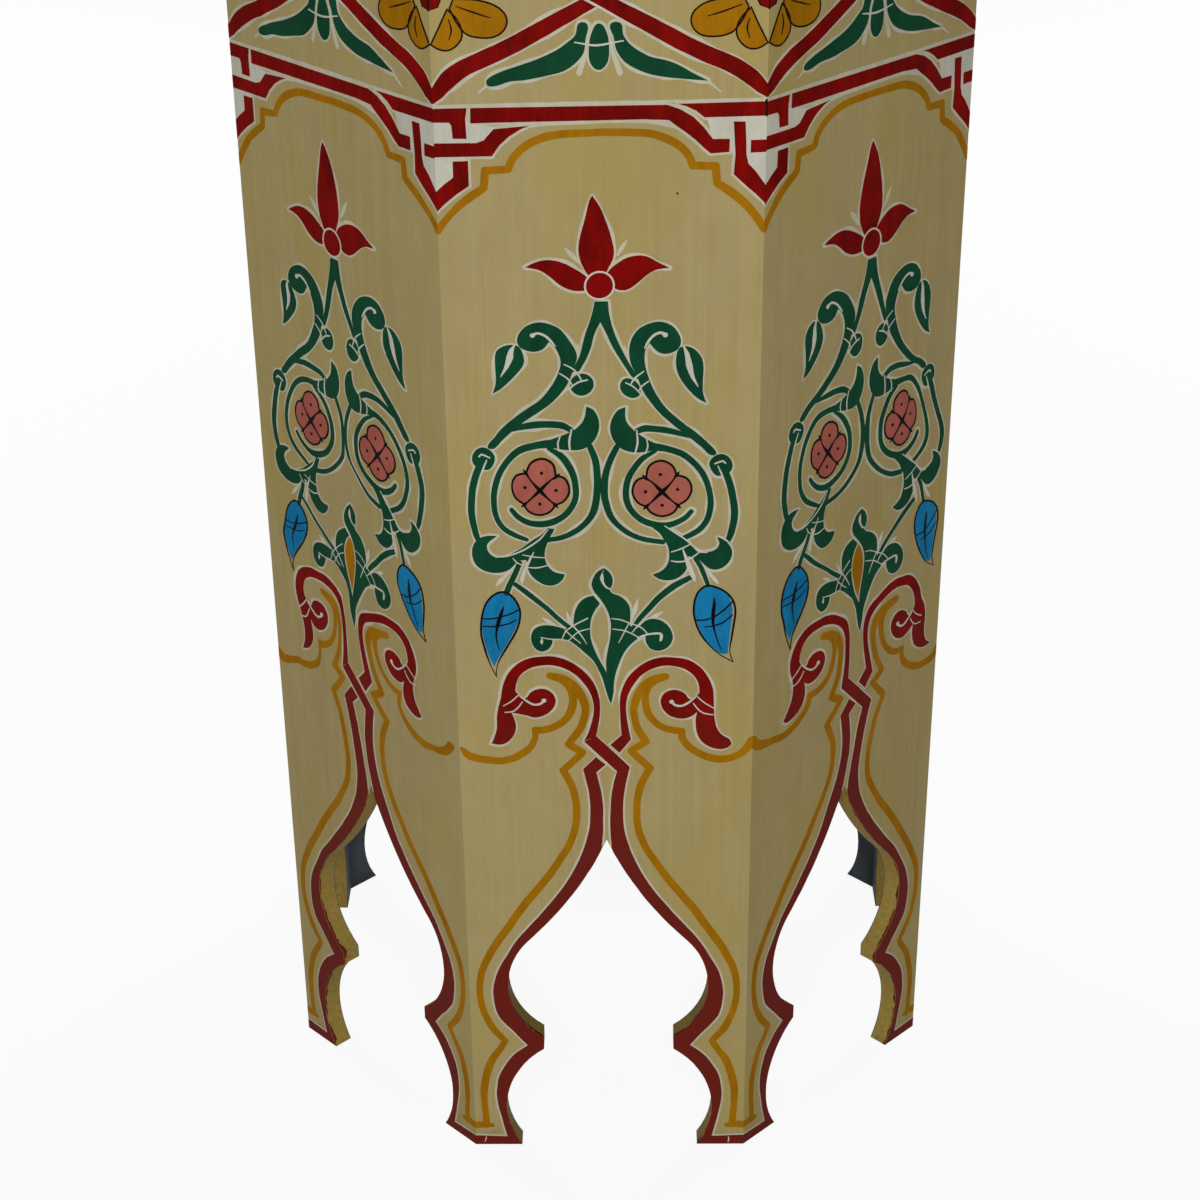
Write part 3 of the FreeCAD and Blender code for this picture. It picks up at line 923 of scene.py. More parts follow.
SCROLL_RISE = [
    (7.2, 267.2, 1), (6.6, 272), (5.8, 279), (5.7, 286), (7, 293.5), (10, 300), (15, 306), (21, 310.5),
    (28, 313), (34, 313), (41, 312), (47.5, 308), (52, 302), (54.5, 295),
]
SCROLL_CURL = [
    (43, 278.5), (38.5, 277.3), (33, 279), (29.5, 282.5), (28, 287), (29, 291), (32, 293.8), (36, 294.3),
    (40, 292.5), (41.9, 289.6, 1), (43.4, 288.6), (45.2, 289.4), (47.8, 293, 1), (47.3, 297.5), (45, 302.5),
    (40, 306.5), (34, 308), (29, 308), (23, 306), (18, 302.5), (14, 297.5), (11, 292), (9.5, 286),
    (9.5, 279.5), (10.8, 272), (12.6, 264.9, 1),
]
TAILS = {
    "round": [
        (55, 288), (55.2, 282), (55.6, 277), (56.8, 272), (59.2, 268.2), (63, 265.6, 1), (64.2, 262.8),
        (61.8, 260.2), (58, 259.4), (53, 260.7), (48.6, 264.4), (46.2, 270.4), (45.7, 276.6),
        (46.5, 281.4, 1)],
    "leaf": [
        (55.8, 288.6), (57.6, 283.4), (60, 277.2), (61.4, 269.6), (64.2, 261, 1), (60, 260.4), (56, 261.7),
        (51.8, 266.6), (49.9, 271.8), (50, 276), (50.8, 280, 1)],
    "stump": [
        (54.9, 288), (54.7, 282), (55.2, 276), (55.9, 271), (57, 266), (59.2, 260.7, 1), (56, 261.5),
        (53.2, 262.8, 1), (49.2, 267.4), (45.8, 273.6), (45, 281, 1)],
    "point": [
        (54.4, 289), (52.8, 283.4), (52.2, 277), (53.5, 270.4), (55.9, 265.6), (58.2, 261.5, 1),
        (55, 260.1), (50, 261.3), (45.2, 264.9), (42.8, 271), (43.2, 276.6), (44.4, 280.6, 1)],
    "boot": [
        (57.2, 290), (58.6, 284), (58.6, 278), (58.5, 273.4), (59.7, 268.2), (61.7, 264.6),
        (65.7, 261.8, 1), (60, 261.3), (55.8, 262.6), (50.8, 266.6), (48.3, 272), (47.4, 277.6),
        (47.6, 282, 1)],
}

# Left and right tail on each side, counted anticlockwise from the front

SIDE_TAILS = [
    ("leaf", "round"), ("point", "boot"), ("leaf", "round"), ("stump", "point"),
    ("leaf", "boot"), ("point", "round"), ("leaf", "point"), ("stump", "point"),
]

# Height of the border's lower end on the feet, width of the white line along it, white round the crossing

FOOT_LINE = 6.4
BORDER_LINE = 2.1
CROSSING_RIM = 1.1


def border_sheet(left_tail, right_tail):
    """Red border of the arch, its crossing over the point, and the scrolls that grow from it."""
    sheet = Sheet(both=True)
    rim = brush().rim / MM
    outer = outline([
        (12.2, 248.6, 1), (10.6, 241), (9.1, 232), (8.6, 222), (9.1, 211), (11.7, 200),
        (15.2, 190), (19.9, 180), (26, 170), (33.2, 160), (40.8, 150), (48.6, 140), (54.2, 130),
        (59.3, 120), (61.9, 110), (62, 100), (60, 90), (56, 84), (51, 78), (44.4, 69.5, 1),
        (51, 64.2), (56, 57.8), (60.4, 49), (62.1, 40), (62.2, 32), (60, 19), (57.2, 5.6, 1)], closed=False)
    inner = outline([
        (2.7, 198.6, 1), (2.2, 204), (1.9, 211), (1.9, 222), (2.6, 232), (4, 240),
        (5.5, 246.2, 1)], closed=False)
    foot = [(EDGE, FOOT_LINE), (EDGE, 0)]
    sheet.blot("red", outer + foot + arch_edge() + inner, smooth=False)
    for run in (outer[2:] + [(EDGE - 0.5, FOOT_LINE)], inner[2:-2]):
        for side in (1, -1):
            sheet.trail("rim", [(side * u, z, BORDER_LINE) for u, z in run])
    over = [(12.2, 248.6), (-6.9, 267.4), (-12.6, 264.6), (5.5, 246.2)]
    under = [(6.9, 267.4), (12.6, 264.9), (6.4, 257.2), (1.2, 262.2)]
    below = [(-12.2, 248.6), (-5.5, 246.2), (-0.6, 250.6), (-5.8, 255.4)]
    for part in (over, under, below):
        sheet.blot("red", part, rim=CROSSING_RIM, both=False, smooth=False)
    for turn, tail in ((list, right_tail), (mirrored, left_tail)):
        sheet.blot("red", turn(SCROLL_RISE + TAILS[tail] + SCROLL_CURL), rim=rim, both=False)
    sheet.dot("chalk", 33.6, 287.4, 1.2)
    sheet.stroke("chalk", [
        (33.8, 287.2, 1.4), (35.2, 285.6, 1.3), (38.5, 285, 1.2), (42, 287, 1.1), (45.6, 290.2, 0.8)])
    sheet.stroke("chalk", [(46.5, 290.5, 0.6), (50, 287, 0.7), (54.8, 284, 0.6)])
    sheet.stroke("chalk", [(44.5, 286.5, 0.6), (47, 283, 0.7), (50, 280.7, 0.7), (54.6, 280, 0.6)])
    return sheet


# Ochre scallop under a scroll: its run to the cusp, and how it ends at the corner of the table

SCALLOP = [
    (27, 300.4, 2.6), (22, 296.4, 3.4), (19.9, 289, 3.4), (21.6, 280, 3.4), (25, 275, 3.3),
    (30, 271.7, 3.3), (35, 270.3, 3.4), (38.8, 270, 3.4, 1),
]
SCALLOP_ENDS = {
    "joined": [
        (38.9, 265.6, 3.3), (42, 260, 3.5), (47, 255.5, 3.6), (53, 252.2, 3.7), (60, 250.8, 3.7),
        (67, 252, 3.5), (72, 255.6, 3.8), (75, 259.4, 4.2)],
    "heavy": [
        (36.8, 263, 3.2), (40.1, 256.4, 3.4), (49.4, 248.9, 4.2), (57.8, 245.8, 4.2), (63, 246.2, 3.4),
        (66.6, 248, 2.5), (69.4, 253, 1.9), (71, 258.6, 2)],
    "light": [
        (38.9, 265.6, 3.3), (42, 260, 3.5), (47, 255.5, 3.6), (53, 252.2, 3.7), (60, 250.6, 3.8),
        (66, 251.8, 3.5), (70.8, 255.2, 2.9), (73.8, 260, 1.8)],
    "raised": [
        (38.9, 266, 3.3), (42.2, 261, 3.5), (47.2, 257, 3.6), (53.2, 254.2, 3.7), (60, 253.4, 3.7),
        (67, 255.4, 3.5), (72, 259.6, 3.8), (75, 264.4, 4.2)],
}


def ochre_sheet(left_end, right_end):
    """Scalloped ochre lines round the arch, the scrolls and the knotted band."""
    sheet = Sheet(both=True)
    sheet.stroke("ochre", [
        (30.6, 302, 3.2), (25, 300.2, 4.2), (20, 296.6, 4.6), (16, 291, 3.8), (13.8, 284.5, 3.4),
        (14, 279, 3.3), (15.6, 272, 3.3), (20.4, 263.4, 3.3, 1), (12.8, 258.2, 3.2, 1), (19, 251.4, 3.3),
        (22.6, 247.8, 3.3, 1), (18.2, 238, 3.2), (16.3, 230, 3.2), (15.7, 222, 3.1), (16.3, 212, 3.1),
        (20, 200, 3.2), (25.6, 190, 3.3), (31.6, 180, 3.5), (38.9, 170, 3.6), (46, 160, 3.6),
        (52, 150, 3.7), (58.4, 140, 3.7), (63.7, 130, 3.5), (67.9, 120, 3.2), (69.4, 110, 3),
        (69.2, 100, 2.9), (67, 90, 3), (63, 81, 3.4), (56.6, 72.3, 3, 1), (59.6, 67, 3), (64, 60, 3.5),
        (67.4, 50, 3.6), (69.2, 40, 3.5), (69.4, 30, 3), (68.8, 20, 3), (68.6, 14.4, 3.4, 1),
        (75, 13.8, 3.8)], full=1.22)
    sheet.stroke("ochre", [(65.6, 13.6, 2.8), (69, 13.9, 4.2)])
    for turn, end in ((list, right_end), (mirrored, left_end)):
        sheet.stroke("ochre", turn(SCALLOP + SCALLOP_ENDS[end]), both=False, full=1.16)
    sheet.stroke("ochre", [
        (0, 586.5, 3), (18, 586, 3.2), (25, 584.8, 3.3), (32, 582, 3.4), (37, 578.4, 3.3), (40.4, 574, 3.2),
        (41.8, 570, 3.2, 1), (52.4, 569.8, 3.3, 1), (53.2, 561.5, 3.3, 1), (60, 557, 3.6), (66, 551.6, 3.6),
        (71, 545, 3.4), (75, 538.4, 3.2)], full=1.14)
    return sheet


def almond_sheet():
    """Ochre almond in the palmettes that were filled in."""
    sheet = Sheet()
    sheet.blot("ochre", [
        (-1.6, 343, 1), (0.3, 339.4), (1.5, 335.4), (2.2, 331), (2.1, 326.4), (1.4, 321), (0.4, 315.4),
        (-0.4, 309, 1), (-1.8, 312.4), (-3.8, 317.2), (-5.2, 322), (-6, 327), (-6, 331.6), (-5.2, 336),
        (-3.6, 340)])
    return sheet


def palmette_sheet():
    """Green palmette over the arch: bud, two lobes round an almond, and a curl each side."""
    sheet = Sheet()
    rim = brush().rim / MM
    right = [
        (2.9, 286.1, 1), (4.3, 292.9), (4.7, 298.4), (5.6, 303.9), (7.1, 309.4), (9.3, 314.9),
        (11.7, 319.2), (15.1, 322.9), (18.6, 325.2), (20.3, 325.4, 1), (20.4, 323), (21, 321.1),
        (22.8, 318.3), (26.2, 317), (29.8, 317.7), (32.6, 320.2), (34, 324.1), (33.2, 328.4), (30.8, 332.1),
        (27.4, 334.6), (23.7, 335.3), (20.3, 334.3), (17.6, 331.6), (15.4, 329.4, 1), (12.4, 331.4, 1),
        (12.6, 337.6), (12, 342.6), (9.9, 346.2), (7.1, 348.4), (3.6, 350), (2.4, 351.8, 1), (0.4, 352.9),
        (-0.9, 355.2), (-1.2, 358.2), (-1, 361), (-0.3, 363.9, 1), (-3.3, 361.9), (-5.4, 358.8),
        (-6.5, 354.8), (-5.7, 351.6), (-4.2, 349.2), (-2, 346.2), (0.7, 341.3), (2.3, 337), (3.2, 332),
        (3, 326.6), (2.2, 321), (1.3, 315.6), (0.7, 310.6), (0.9, 305), (1.6, 300), (2, 294)]
    left = [
        (2.9, 286.1, 1), (1.6, 289.2), (0.1, 295.3), (-1.4, 301.4), (-3.3, 306.4), (-5.7, 311.3),
        (-9.4, 315.6), (-13.7, 319.9), (-18, 323.2), (-22.9, 323.9), (-26, 323.6, 1), (-26.3, 321.6),
        (-27.8, 318.6), (-30.9, 316.9), (-33.3, 317.4), (-35.8, 319.9), (-36.9, 323.5), (-36.5, 327.2),
        (-34.3, 330.3), (-30.3, 331.7), (-26, 331.5), (-22.3, 330.6), (-19.2, 329.7), (-15.4, 331, 1),
        (-15.2, 337), (-14, 341.9), (-11.6, 345.6), (-8.2, 347.8), (-5.4, 348.3, 1), (-3.8, 346.6),
        (-2.2, 344.4), (-4.5, 340.7), (-6.3, 336.4), (-7.1, 331.5), (-7.1, 326.6), (-6.3, 321.7),
        (-4.8, 316.8), (-2.7, 311.9), (-0.2, 307), (2, 301.4), (2.6, 294)]
    bud = [
        (-0.3, 363.9, 1), (2.2, 361.9), (3.8, 358.8), (3.9, 355.4), (2.8, 352.6, 1), (0.8, 353.6),
        (-0.4, 356), (-0.8, 359.6)]
    for part in (right, left, bud):
        sheet.blot("green", part, rim=rim)
    for tie in (
            [(-1, 361, 0.5), (-1.3, 358.6, 2.2), (-0.8, 355.8, 1.4), (0.8, 353.4, 0.9), (3, 352.2, 0.6)],
            [(-5.6, 349, 0.7), (-4, 347, 1), (-2.2, 344.6, 0.8), (-0.6, 342, 0.5)],
            [(16.3, 324.4, 0.9), (19.4, 325.8, 1.2), (23.7, 326.7, 1.3), (27.8, 326.7, 1.5),
             (28.3, 325, 1.9), (28, 322.9, 1.5)],
            [(3.5, 335.6, 0.6), (7.8, 335, 0.8), (12.1, 333, 0.8), (18.2, 330.2, 0.8), (21.3, 326.8, 0.6)],
            [(4.1, 329.7, 0.6), (10.2, 328.4, 0.8), (16.7, 324.8, 0.6)],
            [(12.2, 333, 0.7), (9.6, 327.4, 0.7), (7.1, 321.8, 0.5)],
            [(17.4, 333, 0.7), (13.6, 327.6, 0.6)],
            [(-31.8, 325, 0.7), (-26.6, 324, 0.7), (-22.9, 323.7, 0.8), (-18.4, 323, 0.5)],
            [(-31.4, 323.8, 1.2), (-31.5, 322.5, 1.9), (-31.4, 321.6, 0.9)],
            [(-8.5, 335.6, 0.9), (-14.3, 332.2, 0.9), (-19.2, 328.4, 0.8), (-21.4, 323.6, 0.6)],
            [(-7.6, 329.8, 0.6), (-13.1, 327.8, 0.8), (-18, 323, 0.6)],
            [(-19.8, 329.2, 0.6), (-16.2, 325.4, 0.8), (-11.9, 321.6, 0.5)],
            [(-16.2, 332.2, 0.9), (-11.9, 326.6, 0.8), (-8.8, 321.2, 0.4)]):
        sheet.stroke("chalk", tie, full=0.85)
    for glint in (
            [(16.4, 346.4, 0.5), (15, 341, 2.6), (13, 334, 0.9)],
            [(28.8, 339.2, 0.5), (26, 337.6, 2.2), (22.6, 336, 0.8)],
            [(-18.8, 339, 0.5), (-17.6, 335, 1.8), (-15.8, 331, 0.8)],
            [(-31, 336, 0.5), (-28, 333.8, 2.2), (-24.6, 331.8, 0.8)]):
        sheet.stroke("ground", glint)
    return sheet


def leaf_sheet():
    """Leaves under the rings and the stalks that hang from them, as they stand on the front."""
    sheet = Sheet()
    rim = brush().rim / MM
    right = [
        (22.4, 388.6), (23.9, 386.1), (27.4, 383), (29.3, 379.8), (31.2, 376.6), (32, 373.5), (32.1, 369.7),
        (31.6, 367.1), (29.9, 363.9), (27, 361.7), (23.6, 360.4, 1), (25.5, 358.7), (27.7, 357.4),
        (30.8, 356.9), (34, 357.3), (37.2, 358.9), (39.7, 361.4), (40.8, 364.4), (40.8, 367),
        (41.2, 370, 1), (44.5, 369.6, 1), (46.7, 368.2), (48.6, 366), (51.6, 363.3), (54.9, 362.5),
        (58.1, 363.6), (60.9, 366.4), (62.5, 369.7), (62.8, 373.1), (61.6, 376), (59.4, 378.4), (57.1, 380),
        (55.4, 380.4, 1), (56.4, 377.4), (55.6, 374.7), (53.7, 373.1), (50.5, 372.2), (46.7, 372.8),
        (43.5, 376), (40.3, 379.2), (35.9, 382.6), (30.5, 386.6, 1), (27, 388.6)]
    left = [
        (-24.2, 385.4, 1), (-26.8, 379.8), (-28.7, 374.7), (-29.2, 369.7), (-28.1, 365.2), (-24.9, 361.7),
        (-19.6, 360.2, 1), (-20.5, 357.6), (-23, 355.1), (-26.2, 353.9), (-30, 354.4), (-33.8, 357),
        (-36.3, 360.1), (-37.7, 363.9), (-38, 366.8), (-38.6, 368.4, 1), (-41.4, 368, 1), (-43.3, 366.8),
        (-44.8, 365), (-47.1, 363), (-50.9, 361.5), (-55.4, 361.4), (-59.8, 363), (-63, 365.8),
        (-64.5, 369.7), (-64.7, 374.1), (-63.3, 377.9), (-60.4, 380.7), (-56.6, 381.8), (-52.2, 381.7, 1),
        (-54.3, 380), (-56.3, 378.2), (-57.3, 376), (-56.6, 373.1), (-54.7, 370.9), (-51.6, 369.9),
        (-47.8, 370.6), (-44.6, 372.4), (-40.5, 374.9), (-37, 377.5), (-33.2, 380.3), (-30, 382.6),
        (-27.6, 385.6, 1)]
    for part in (right, left):
        sheet.blot("green", part, rim=rim)
    for stem in (
            [(44.9, 369, 2.2), (47.3, 364.6, 2.3), (49.2, 359.5, 2.3), (51.1, 353.8, 2.2)],
            [(-41.6, 366.6, 2.6), (-44.6, 359.5, 2.9), (-47.1, 354.4, 3), (-48.8, 350, 3)],
            [(42.8, 358.5, 2.8), (34.1, 353.6, 3.5), (27.4, 347.8, 3.2), (21.9, 341.3, 3), (16.3, 334, 2.4),
             (13.2, 328.4, 1.8)],
            [(-44.4, 355, 2.3), (-40.1, 351.3, 2.7), (-34.4, 346.2, 2.6), (-28.1, 340.5, 2.5),
             (-22.4, 334.8, 2.5), (-16.6, 329.8, 2.2)]):
        sheet.stroke("green", stem, rim * 0.9)
    for tie in (
            [(30, 386.9, 0.6), (35.9, 382.5, 0.9), (40.3, 379.1, 0.9), (43.5, 375.9, 0.9), (46.7, 372.7, 1),
             (50.5, 372, 0.6)],
            [(33.2, 372.8, 0.6), (37.4, 374.2, 0.9), (42.4, 376.8, 0.7)],
            [(33, 367.8, 0.7), (36.5, 367.2, 1), (40.3, 367.7, 0.9), (44.8, 370.6, 0.9),
             (47.4, 372.9, 0.6)],
            [(38.6, 374.4, 0.5), (39.8, 370.6, 1.6), (41.8, 364.6, 3), (43.8, 359, 2.6),
             (44.8, 356.2, 0.6)],
            [(55.6, 381.4, 0.5), (58.6, 379.9, 1), (60.8, 378, 0.9), (62.6, 375.4, 0.4)],
            [(-53, 370.2, 0.6), (-47, 370.8, 0.9), (-40.5, 373.4, 1), (-35.5, 376.4, 1), (-31, 380.2, 1),
             (-27.4, 385, 0.5)],
            [(-40.1, 371.2, 0.5), (-34.4, 370, 0.8), (-28.8, 369.6, 0.6)],
            [(-37.9, 364.3, 0.6), (-33.2, 364, 0.9), (-28.4, 365.2, 0.7)],
            [(-44.8, 369.4, 0.5), (-43, 367, 0.8), (-40.2, 365.4, 0.6)],
            [(-34.6, 372.6, 0.5), (-37, 367.7, 1.4), (-39.4, 362, 2), (-40.6, 357.6, 2.6),
             (-40.8, 355.4, 0.8)]):
        sheet.stroke("chalk", tie, full=0.85)
    for glint in (
            [(48.6, 366, 0.5), (52.4, 359.8, 1.6), (54.6, 356.8, 2), (56.2, 354.4, 0.4)],
            [(-42.7, 366.5, 0.5), (-47.5, 361, 1.2), (-51.6, 356.8, 2.4), (-53.8, 354, 0.5)]):
        sheet.stroke("ground", glint)
    return sheet


def stem_sheet():
    """Green stems: fork, crook, hanging leaf, knots, horn leaf and the rings round the blossom."""
    sheet = Sheet(both=True)
    rim = brush().rim / MM
    # forked stem under the flower
    sheet.blot("green", [
        (0, 503.4, 1), (3, 503.4, 1), (3.8, 497), (5.4, 490), (8.8, 480), (12, 472.6), (14.6, 468),
        (17, 463.4, 1), (13.6, 463.8), (11.6, 467), (8.8, 471.8), (5.6, 478), (2.6, 486.6),
        (0, 493, 1)], rim=rim)
    # crook that runs down to the outer knot
    sheet.blot("green", [
        (15.4, 466.5), (13.2, 472), (12.8, 479), (14.8, 486), (19, 490.6), (26, 493), (32, 491.6),
        (36, 487.6), (37.4, 483.6), (36.4, 480), (34, 478), (30, 477), (26, 478.4), (22.6, 482.6, 1),
        (20.6, 479), (20.2, 474), (21, 468), (23, 462), (26, 455.4), (29.4, 450), (33.4, 446), (40, 440.2),
        (46, 435.2), (50.5, 430.8), (54.6, 425.4), (51.6, 424.6), (47, 429), (40, 435), (33, 441),
        (27, 446.4), (22.6, 451.4), (18.6, 457.6)], rim=rim)
    sheet.dot("chalk", 30, 486.4, 1.2)
    sheet.stroke("chalk", [
        (30, 486.6, 1.6), (27.6, 487.6, 1.3), (24.2, 486, 1.2), (21.8, 483, 1.2), (20.4, 480, 0.7)])
    sheet.stroke("rim", [(10.6, 481, 0.6), (11.8, 474, 2.4), (13.4, 468.6, 0.8)])
    # hanging leaf
    sheet.blot("green", [
        (37.6, 480.6), (35.6, 478), (35, 472), (36, 467), (38.6, 462), (42, 457.6), (45.8, 453.8),
        (49.2, 451.8, 1), (47.8, 457), (47.7, 463), (48, 470), (47.4, 474.4), (45, 478.2),
        (41.6, 480.6)], rim=rim)
    sheet.stroke("chalk", [
        (38.4, 481.4, 0.5), (40.2, 477, 2.2), (41.2, 471.6, 3), (42.8, 465.6, 1.8), (45.4, 460.4, 0.4)])
    # inner knob and its ties
    sheet.dot("green", 12, 457.2, 5.5, rim)
    for tie in (
            [(19.6, 468, 0.6), (16, 465, 0.8), (13.4, 461.4, 0.8), (12.4, 459.4, 0.6)],
            [(22, 463, 0.6), (18.2, 459.6, 0.8), (16.4, 456.4, 0.6)],
            [(9.6, 459.6, 0.8), (14, 458.2, 0.9), (18.2, 454.6, 0.6)]):
        sheet.stroke("chalk", tie)
    # outer knot
    sheet.blot("green", [
        (51.2, 420.6), (53.6, 424), (57.5, 425.2), (61, 423.2), (62.5, 419.2), (61.2, 415.6), (58, 414),
        (54.6, 413.8), (52.2, 416.4)], rim=rim)
    sheet.stroke("chalk", [(53.8, 420, 0.8), (57.8, 421.5, 1), (59, 420.4, 0.8)])
    sheet.stroke("chalk", [(55.4, 418.8, 0.6), (57, 415, 0.9), (58.2, 411.6, 0.7)])
    # horn leaf and the arc over the rings
    sheet.blot("green", [
        (9.4, 446.6, 1), (6, 445), (3.4, 441), (2.6, 436), (4, 431), (7, 427.2), (11, 425.6), (16.4, 425.6),
        (24, 426.8), (32, 426.4, 1), (32, 428.8, 1), (24, 431), (18, 433.4), (14, 435.6), (11, 438.6),
        (9.7, 442)], rim=rim)
    sheet.stroke("green", [
        (16, 435.4, 2.6), (20, 437.4, 3.2), (26, 437.9, 3.2), (32, 437.2, 3.1), (38, 435.6, 2.6),
        (44, 433.6, 1.6)], rim)
    sheet.stroke("chalk", [(15.6, 435.6, 0.7), (16.2, 430, 1), (15.2, 424.6, 0.7)])
    sheet.stroke("chalk", [(20.6, 432.4, 0.6), (21.2, 429, 0.8), (20.2, 425.4, 0.6)])
    # rings round the blossom
    sheet.stroke("green", [
        (20, 428.8, 3.4), (26, 428.9, 3.4), (32, 427.6, 3.3), (39, 424.6, 3.2), (45, 419, 3),
        (49.4, 411.5, 3), (51.6, 404, 3), (51.9, 397, 3), (50.4, 390, 3), (47, 385, 2.9), (42, 381.6, 2.7),
        (38.6, 380, 2.4), (35.5, 378.8, 2)], rim)
    sheet.stroke("green", [
        (25, 426.6, 1.6), (19.4, 423.2, 2.8), (15, 418, 3), (12, 412, 3), (11, 405.4, 3), (11.5, 400, 3),
        (13.2, 396, 3), (17, 391.6, 3.2), (22, 388.7, 3.4), (28, 387.2, 3.4), (34, 388, 3),
        (39.4, 391, 2.8), (42.6, 394.6, 2.4)], rim)
    sheet.stroke("green", [
        (6.4, 427, 2.8), (3.2, 420, 3), (1.6, 412, 3), (1.5, 405, 3), (2, 399.6, 3), (3.6, 393, 2.9),
        (7.2, 387.5, 2.8), (13, 382.6, 2.7), (20, 379.6, 2.6), (29, 378.2, 2.6)], rim)
    sheet.stroke("green", [
        (57.8, 418, 3), (60.4, 412, 3.5), (62.5, 404, 3.6), (63.5, 396, 3.6), (63.4, 389, 3.5),
        (62, 382, 3.2), (60.8, 378.6, 2.6)], rim)
    return sheet


def blossom_sheet():
    """Pink four-lobed blossom inside the rings, outlined and crossed in black."""
    sheet = Sheet(both=True)
    heart = (28.3, 405.4)
    sheet.blot("pink", [
        (20.6, 413.4, 1), (22.3, 419.1), (27.6, 421.8), (32.8, 419.5), (35.3, 414.2, 1), (40.4, 412.1),
        (42.5, 406.7), (40.6, 401.2), (36.4, 398.1, 1), (33.9, 394.1), (28.7, 392.2), (23.8, 393.9),
        (20.9, 397.4, 1), (16.4, 399.9), (14.1, 405.4), (16, 411.3)], line=1.05)
    sheet.stroke("black", [
        (19.6, 413.6, 0.5), (24, 410, 1), (*heart, 2.2), (32, 401.6, 1.1), (37, 396.6, 0.5)])
    sheet.stroke("black", [
        (36.2, 415.4, 0.5), (32, 409.4, 1), (*heart, 2.2), (24.4, 401, 1.1), (20, 396.4, 0.5)])
    for u, z in ((20.3, 412.8), (35.3, 414.2), (21, 397.6), (36, 397.8)):
        out = (Vector((u, z)) - Vector(heart)).normalized() * 2
        sheet.stroke("black", [(u - out.x, z - out.y, 0.8), (u, z, 1.9), (u + out.x, z + out.y, 0.5)])
    for u, z in ((27.5, 414.6), (20.4, 405.4), (35.8, 406.6), (28.5, 398)):
        sheet.dot("black", u, z, 0.85)
    return sheet


# Black line round a blue leaf: width at the tip and farther up, and the heights over the tip between them

TIP_LINE = 0.45
LEAF_LINE = 1
TIP_HEIGHTS = (4, 16)


def blue_leaf_sheet():
    """Blue hanging leaves with black outline and veins, as they stand on the front."""
    sheet = Sheet()
    fills = (
        [(50.6, 353.5), (55.8, 352.6), (59.8, 350), (62.4, 345.5), (63.4, 339), (63, 331), (62.3, 324),
         (61.8, 317.6), (61.6, 315, 1), (57.6, 315.4), (53.4, 319.4), (49.4, 325), (46.6, 331),
         (44.9, 337.4), (44.6, 343), (45.7, 347.6), (47.6, 351.2)],
        [(-49.7, 350.4), (-53.5, 349.7), (-57.2, 346.6), (-59.5, 342.3), (-61, 336), (-61.4, 329.7),
         (-60.9, 324.7), (-59.6, 319), (-57.8, 312.6), (-55.8, 308.4, 1), (-54.4, 311.2), (-52.2, 315.4),
         (-49.2, 320.9), (-46.2, 326.4), (-43.7, 332.2), (-42.6, 337.2), (-43, 341.7), (-44.8, 346),
         (-47.8, 349.6)])
    edges = (
        [(50.5, 353.8), (54.3, 353), (58.1, 351.3), (61.6, 348.4), (63.8, 344.9), (64.7, 340.5),
         (64.7, 335.4), (64.1, 329.7), (63.4, 324.7), (62.8, 320.2), (62.7, 315.8), (64.4, 310.6, 1),
         (61.3, 312.4), (58.1, 314.4), (54.3, 317.9), (49.9, 323.3), (46.7, 329), (45, 334.2),
         (44.1, 339.9), (44.7, 345.6), (46.7, 350.6)],
        [(-49.7, 350.7), (-53.5, 350), (-57.3, 346.8), (-59.8, 342.4), (-61.4, 336.1), (-62, 329.7),
         (-61.7, 324.7), (-60.4, 319), (-58.8, 312.6), (-57.3, 308.2), (-54.9, 302.4, 1), (-54.7, 306.3),
         (-53.8, 310.4), (-51.6, 315), (-48.4, 320.8), (-45.2, 326.5), (-43, 332.2), (-42.2, 337.3),
         (-42.6, 341.8), (-44.6, 346.2), (-47.8, 349.8)])
    for fill, edge in zip(fills, edges):
        sheet.blot("blue", fill)
        run = outline(edge)
        low = min(spot[1] for spot in run)
        start, stop = (low + height for height in TIP_HEIGHTS)
        line = [(u, z, TIP_LINE + (LEAF_LINE - TIP_LINE) * eased(z, start, stop)) for u, z in run]
        sheet.trail("black", line, closed=True)
    for vein in (
            [(54.2, 346.8, 0.5), (54.3, 344, 1.5), (53.9, 338.6, 2), (54, 333, 1.5), (54.9, 328, 0.8),
             (56.6, 321.6, 0.6), (58.4, 317.6, 0.4)],
            [(45.2, 334.2, 0.7), (50, 334.4, 0.8), (54, 335.8, 0.8), (58.6, 339.4, 0.8), (63.6, 345, 0.7)],
            [(49.4, 330.4, 0.4), (54, 331, 0.8), (59, 333, 0.8), (63.4, 337.2, 0.6)],
            [(-50.3, 342.4, 0.5), (-51.6, 338.6, 1.7), (-53.1, 333.5, 2), (-54.2, 329.1, 1.2),
             (-54.4, 325.3, 0.8), (-53.1, 317.5, 0.4)],
            [(-60.9, 335.6, 0.6), (-56, 335.6, 0.8), (-50.9, 337, 0.8), (-46.5, 338.6, 0.8),
             (-42.8, 340.7, 0.7)],
            [(-60.9, 331.3, 0.6), (-54.7, 331.3, 0.8), (-48.4, 332.6, 0.8), (-44, 335.1, 0.5)]):
        sheet.stroke("black", vein)
    return sheet


# Petals of the red flower, its ball (u, z, radius), and the point that it is set down by on the top

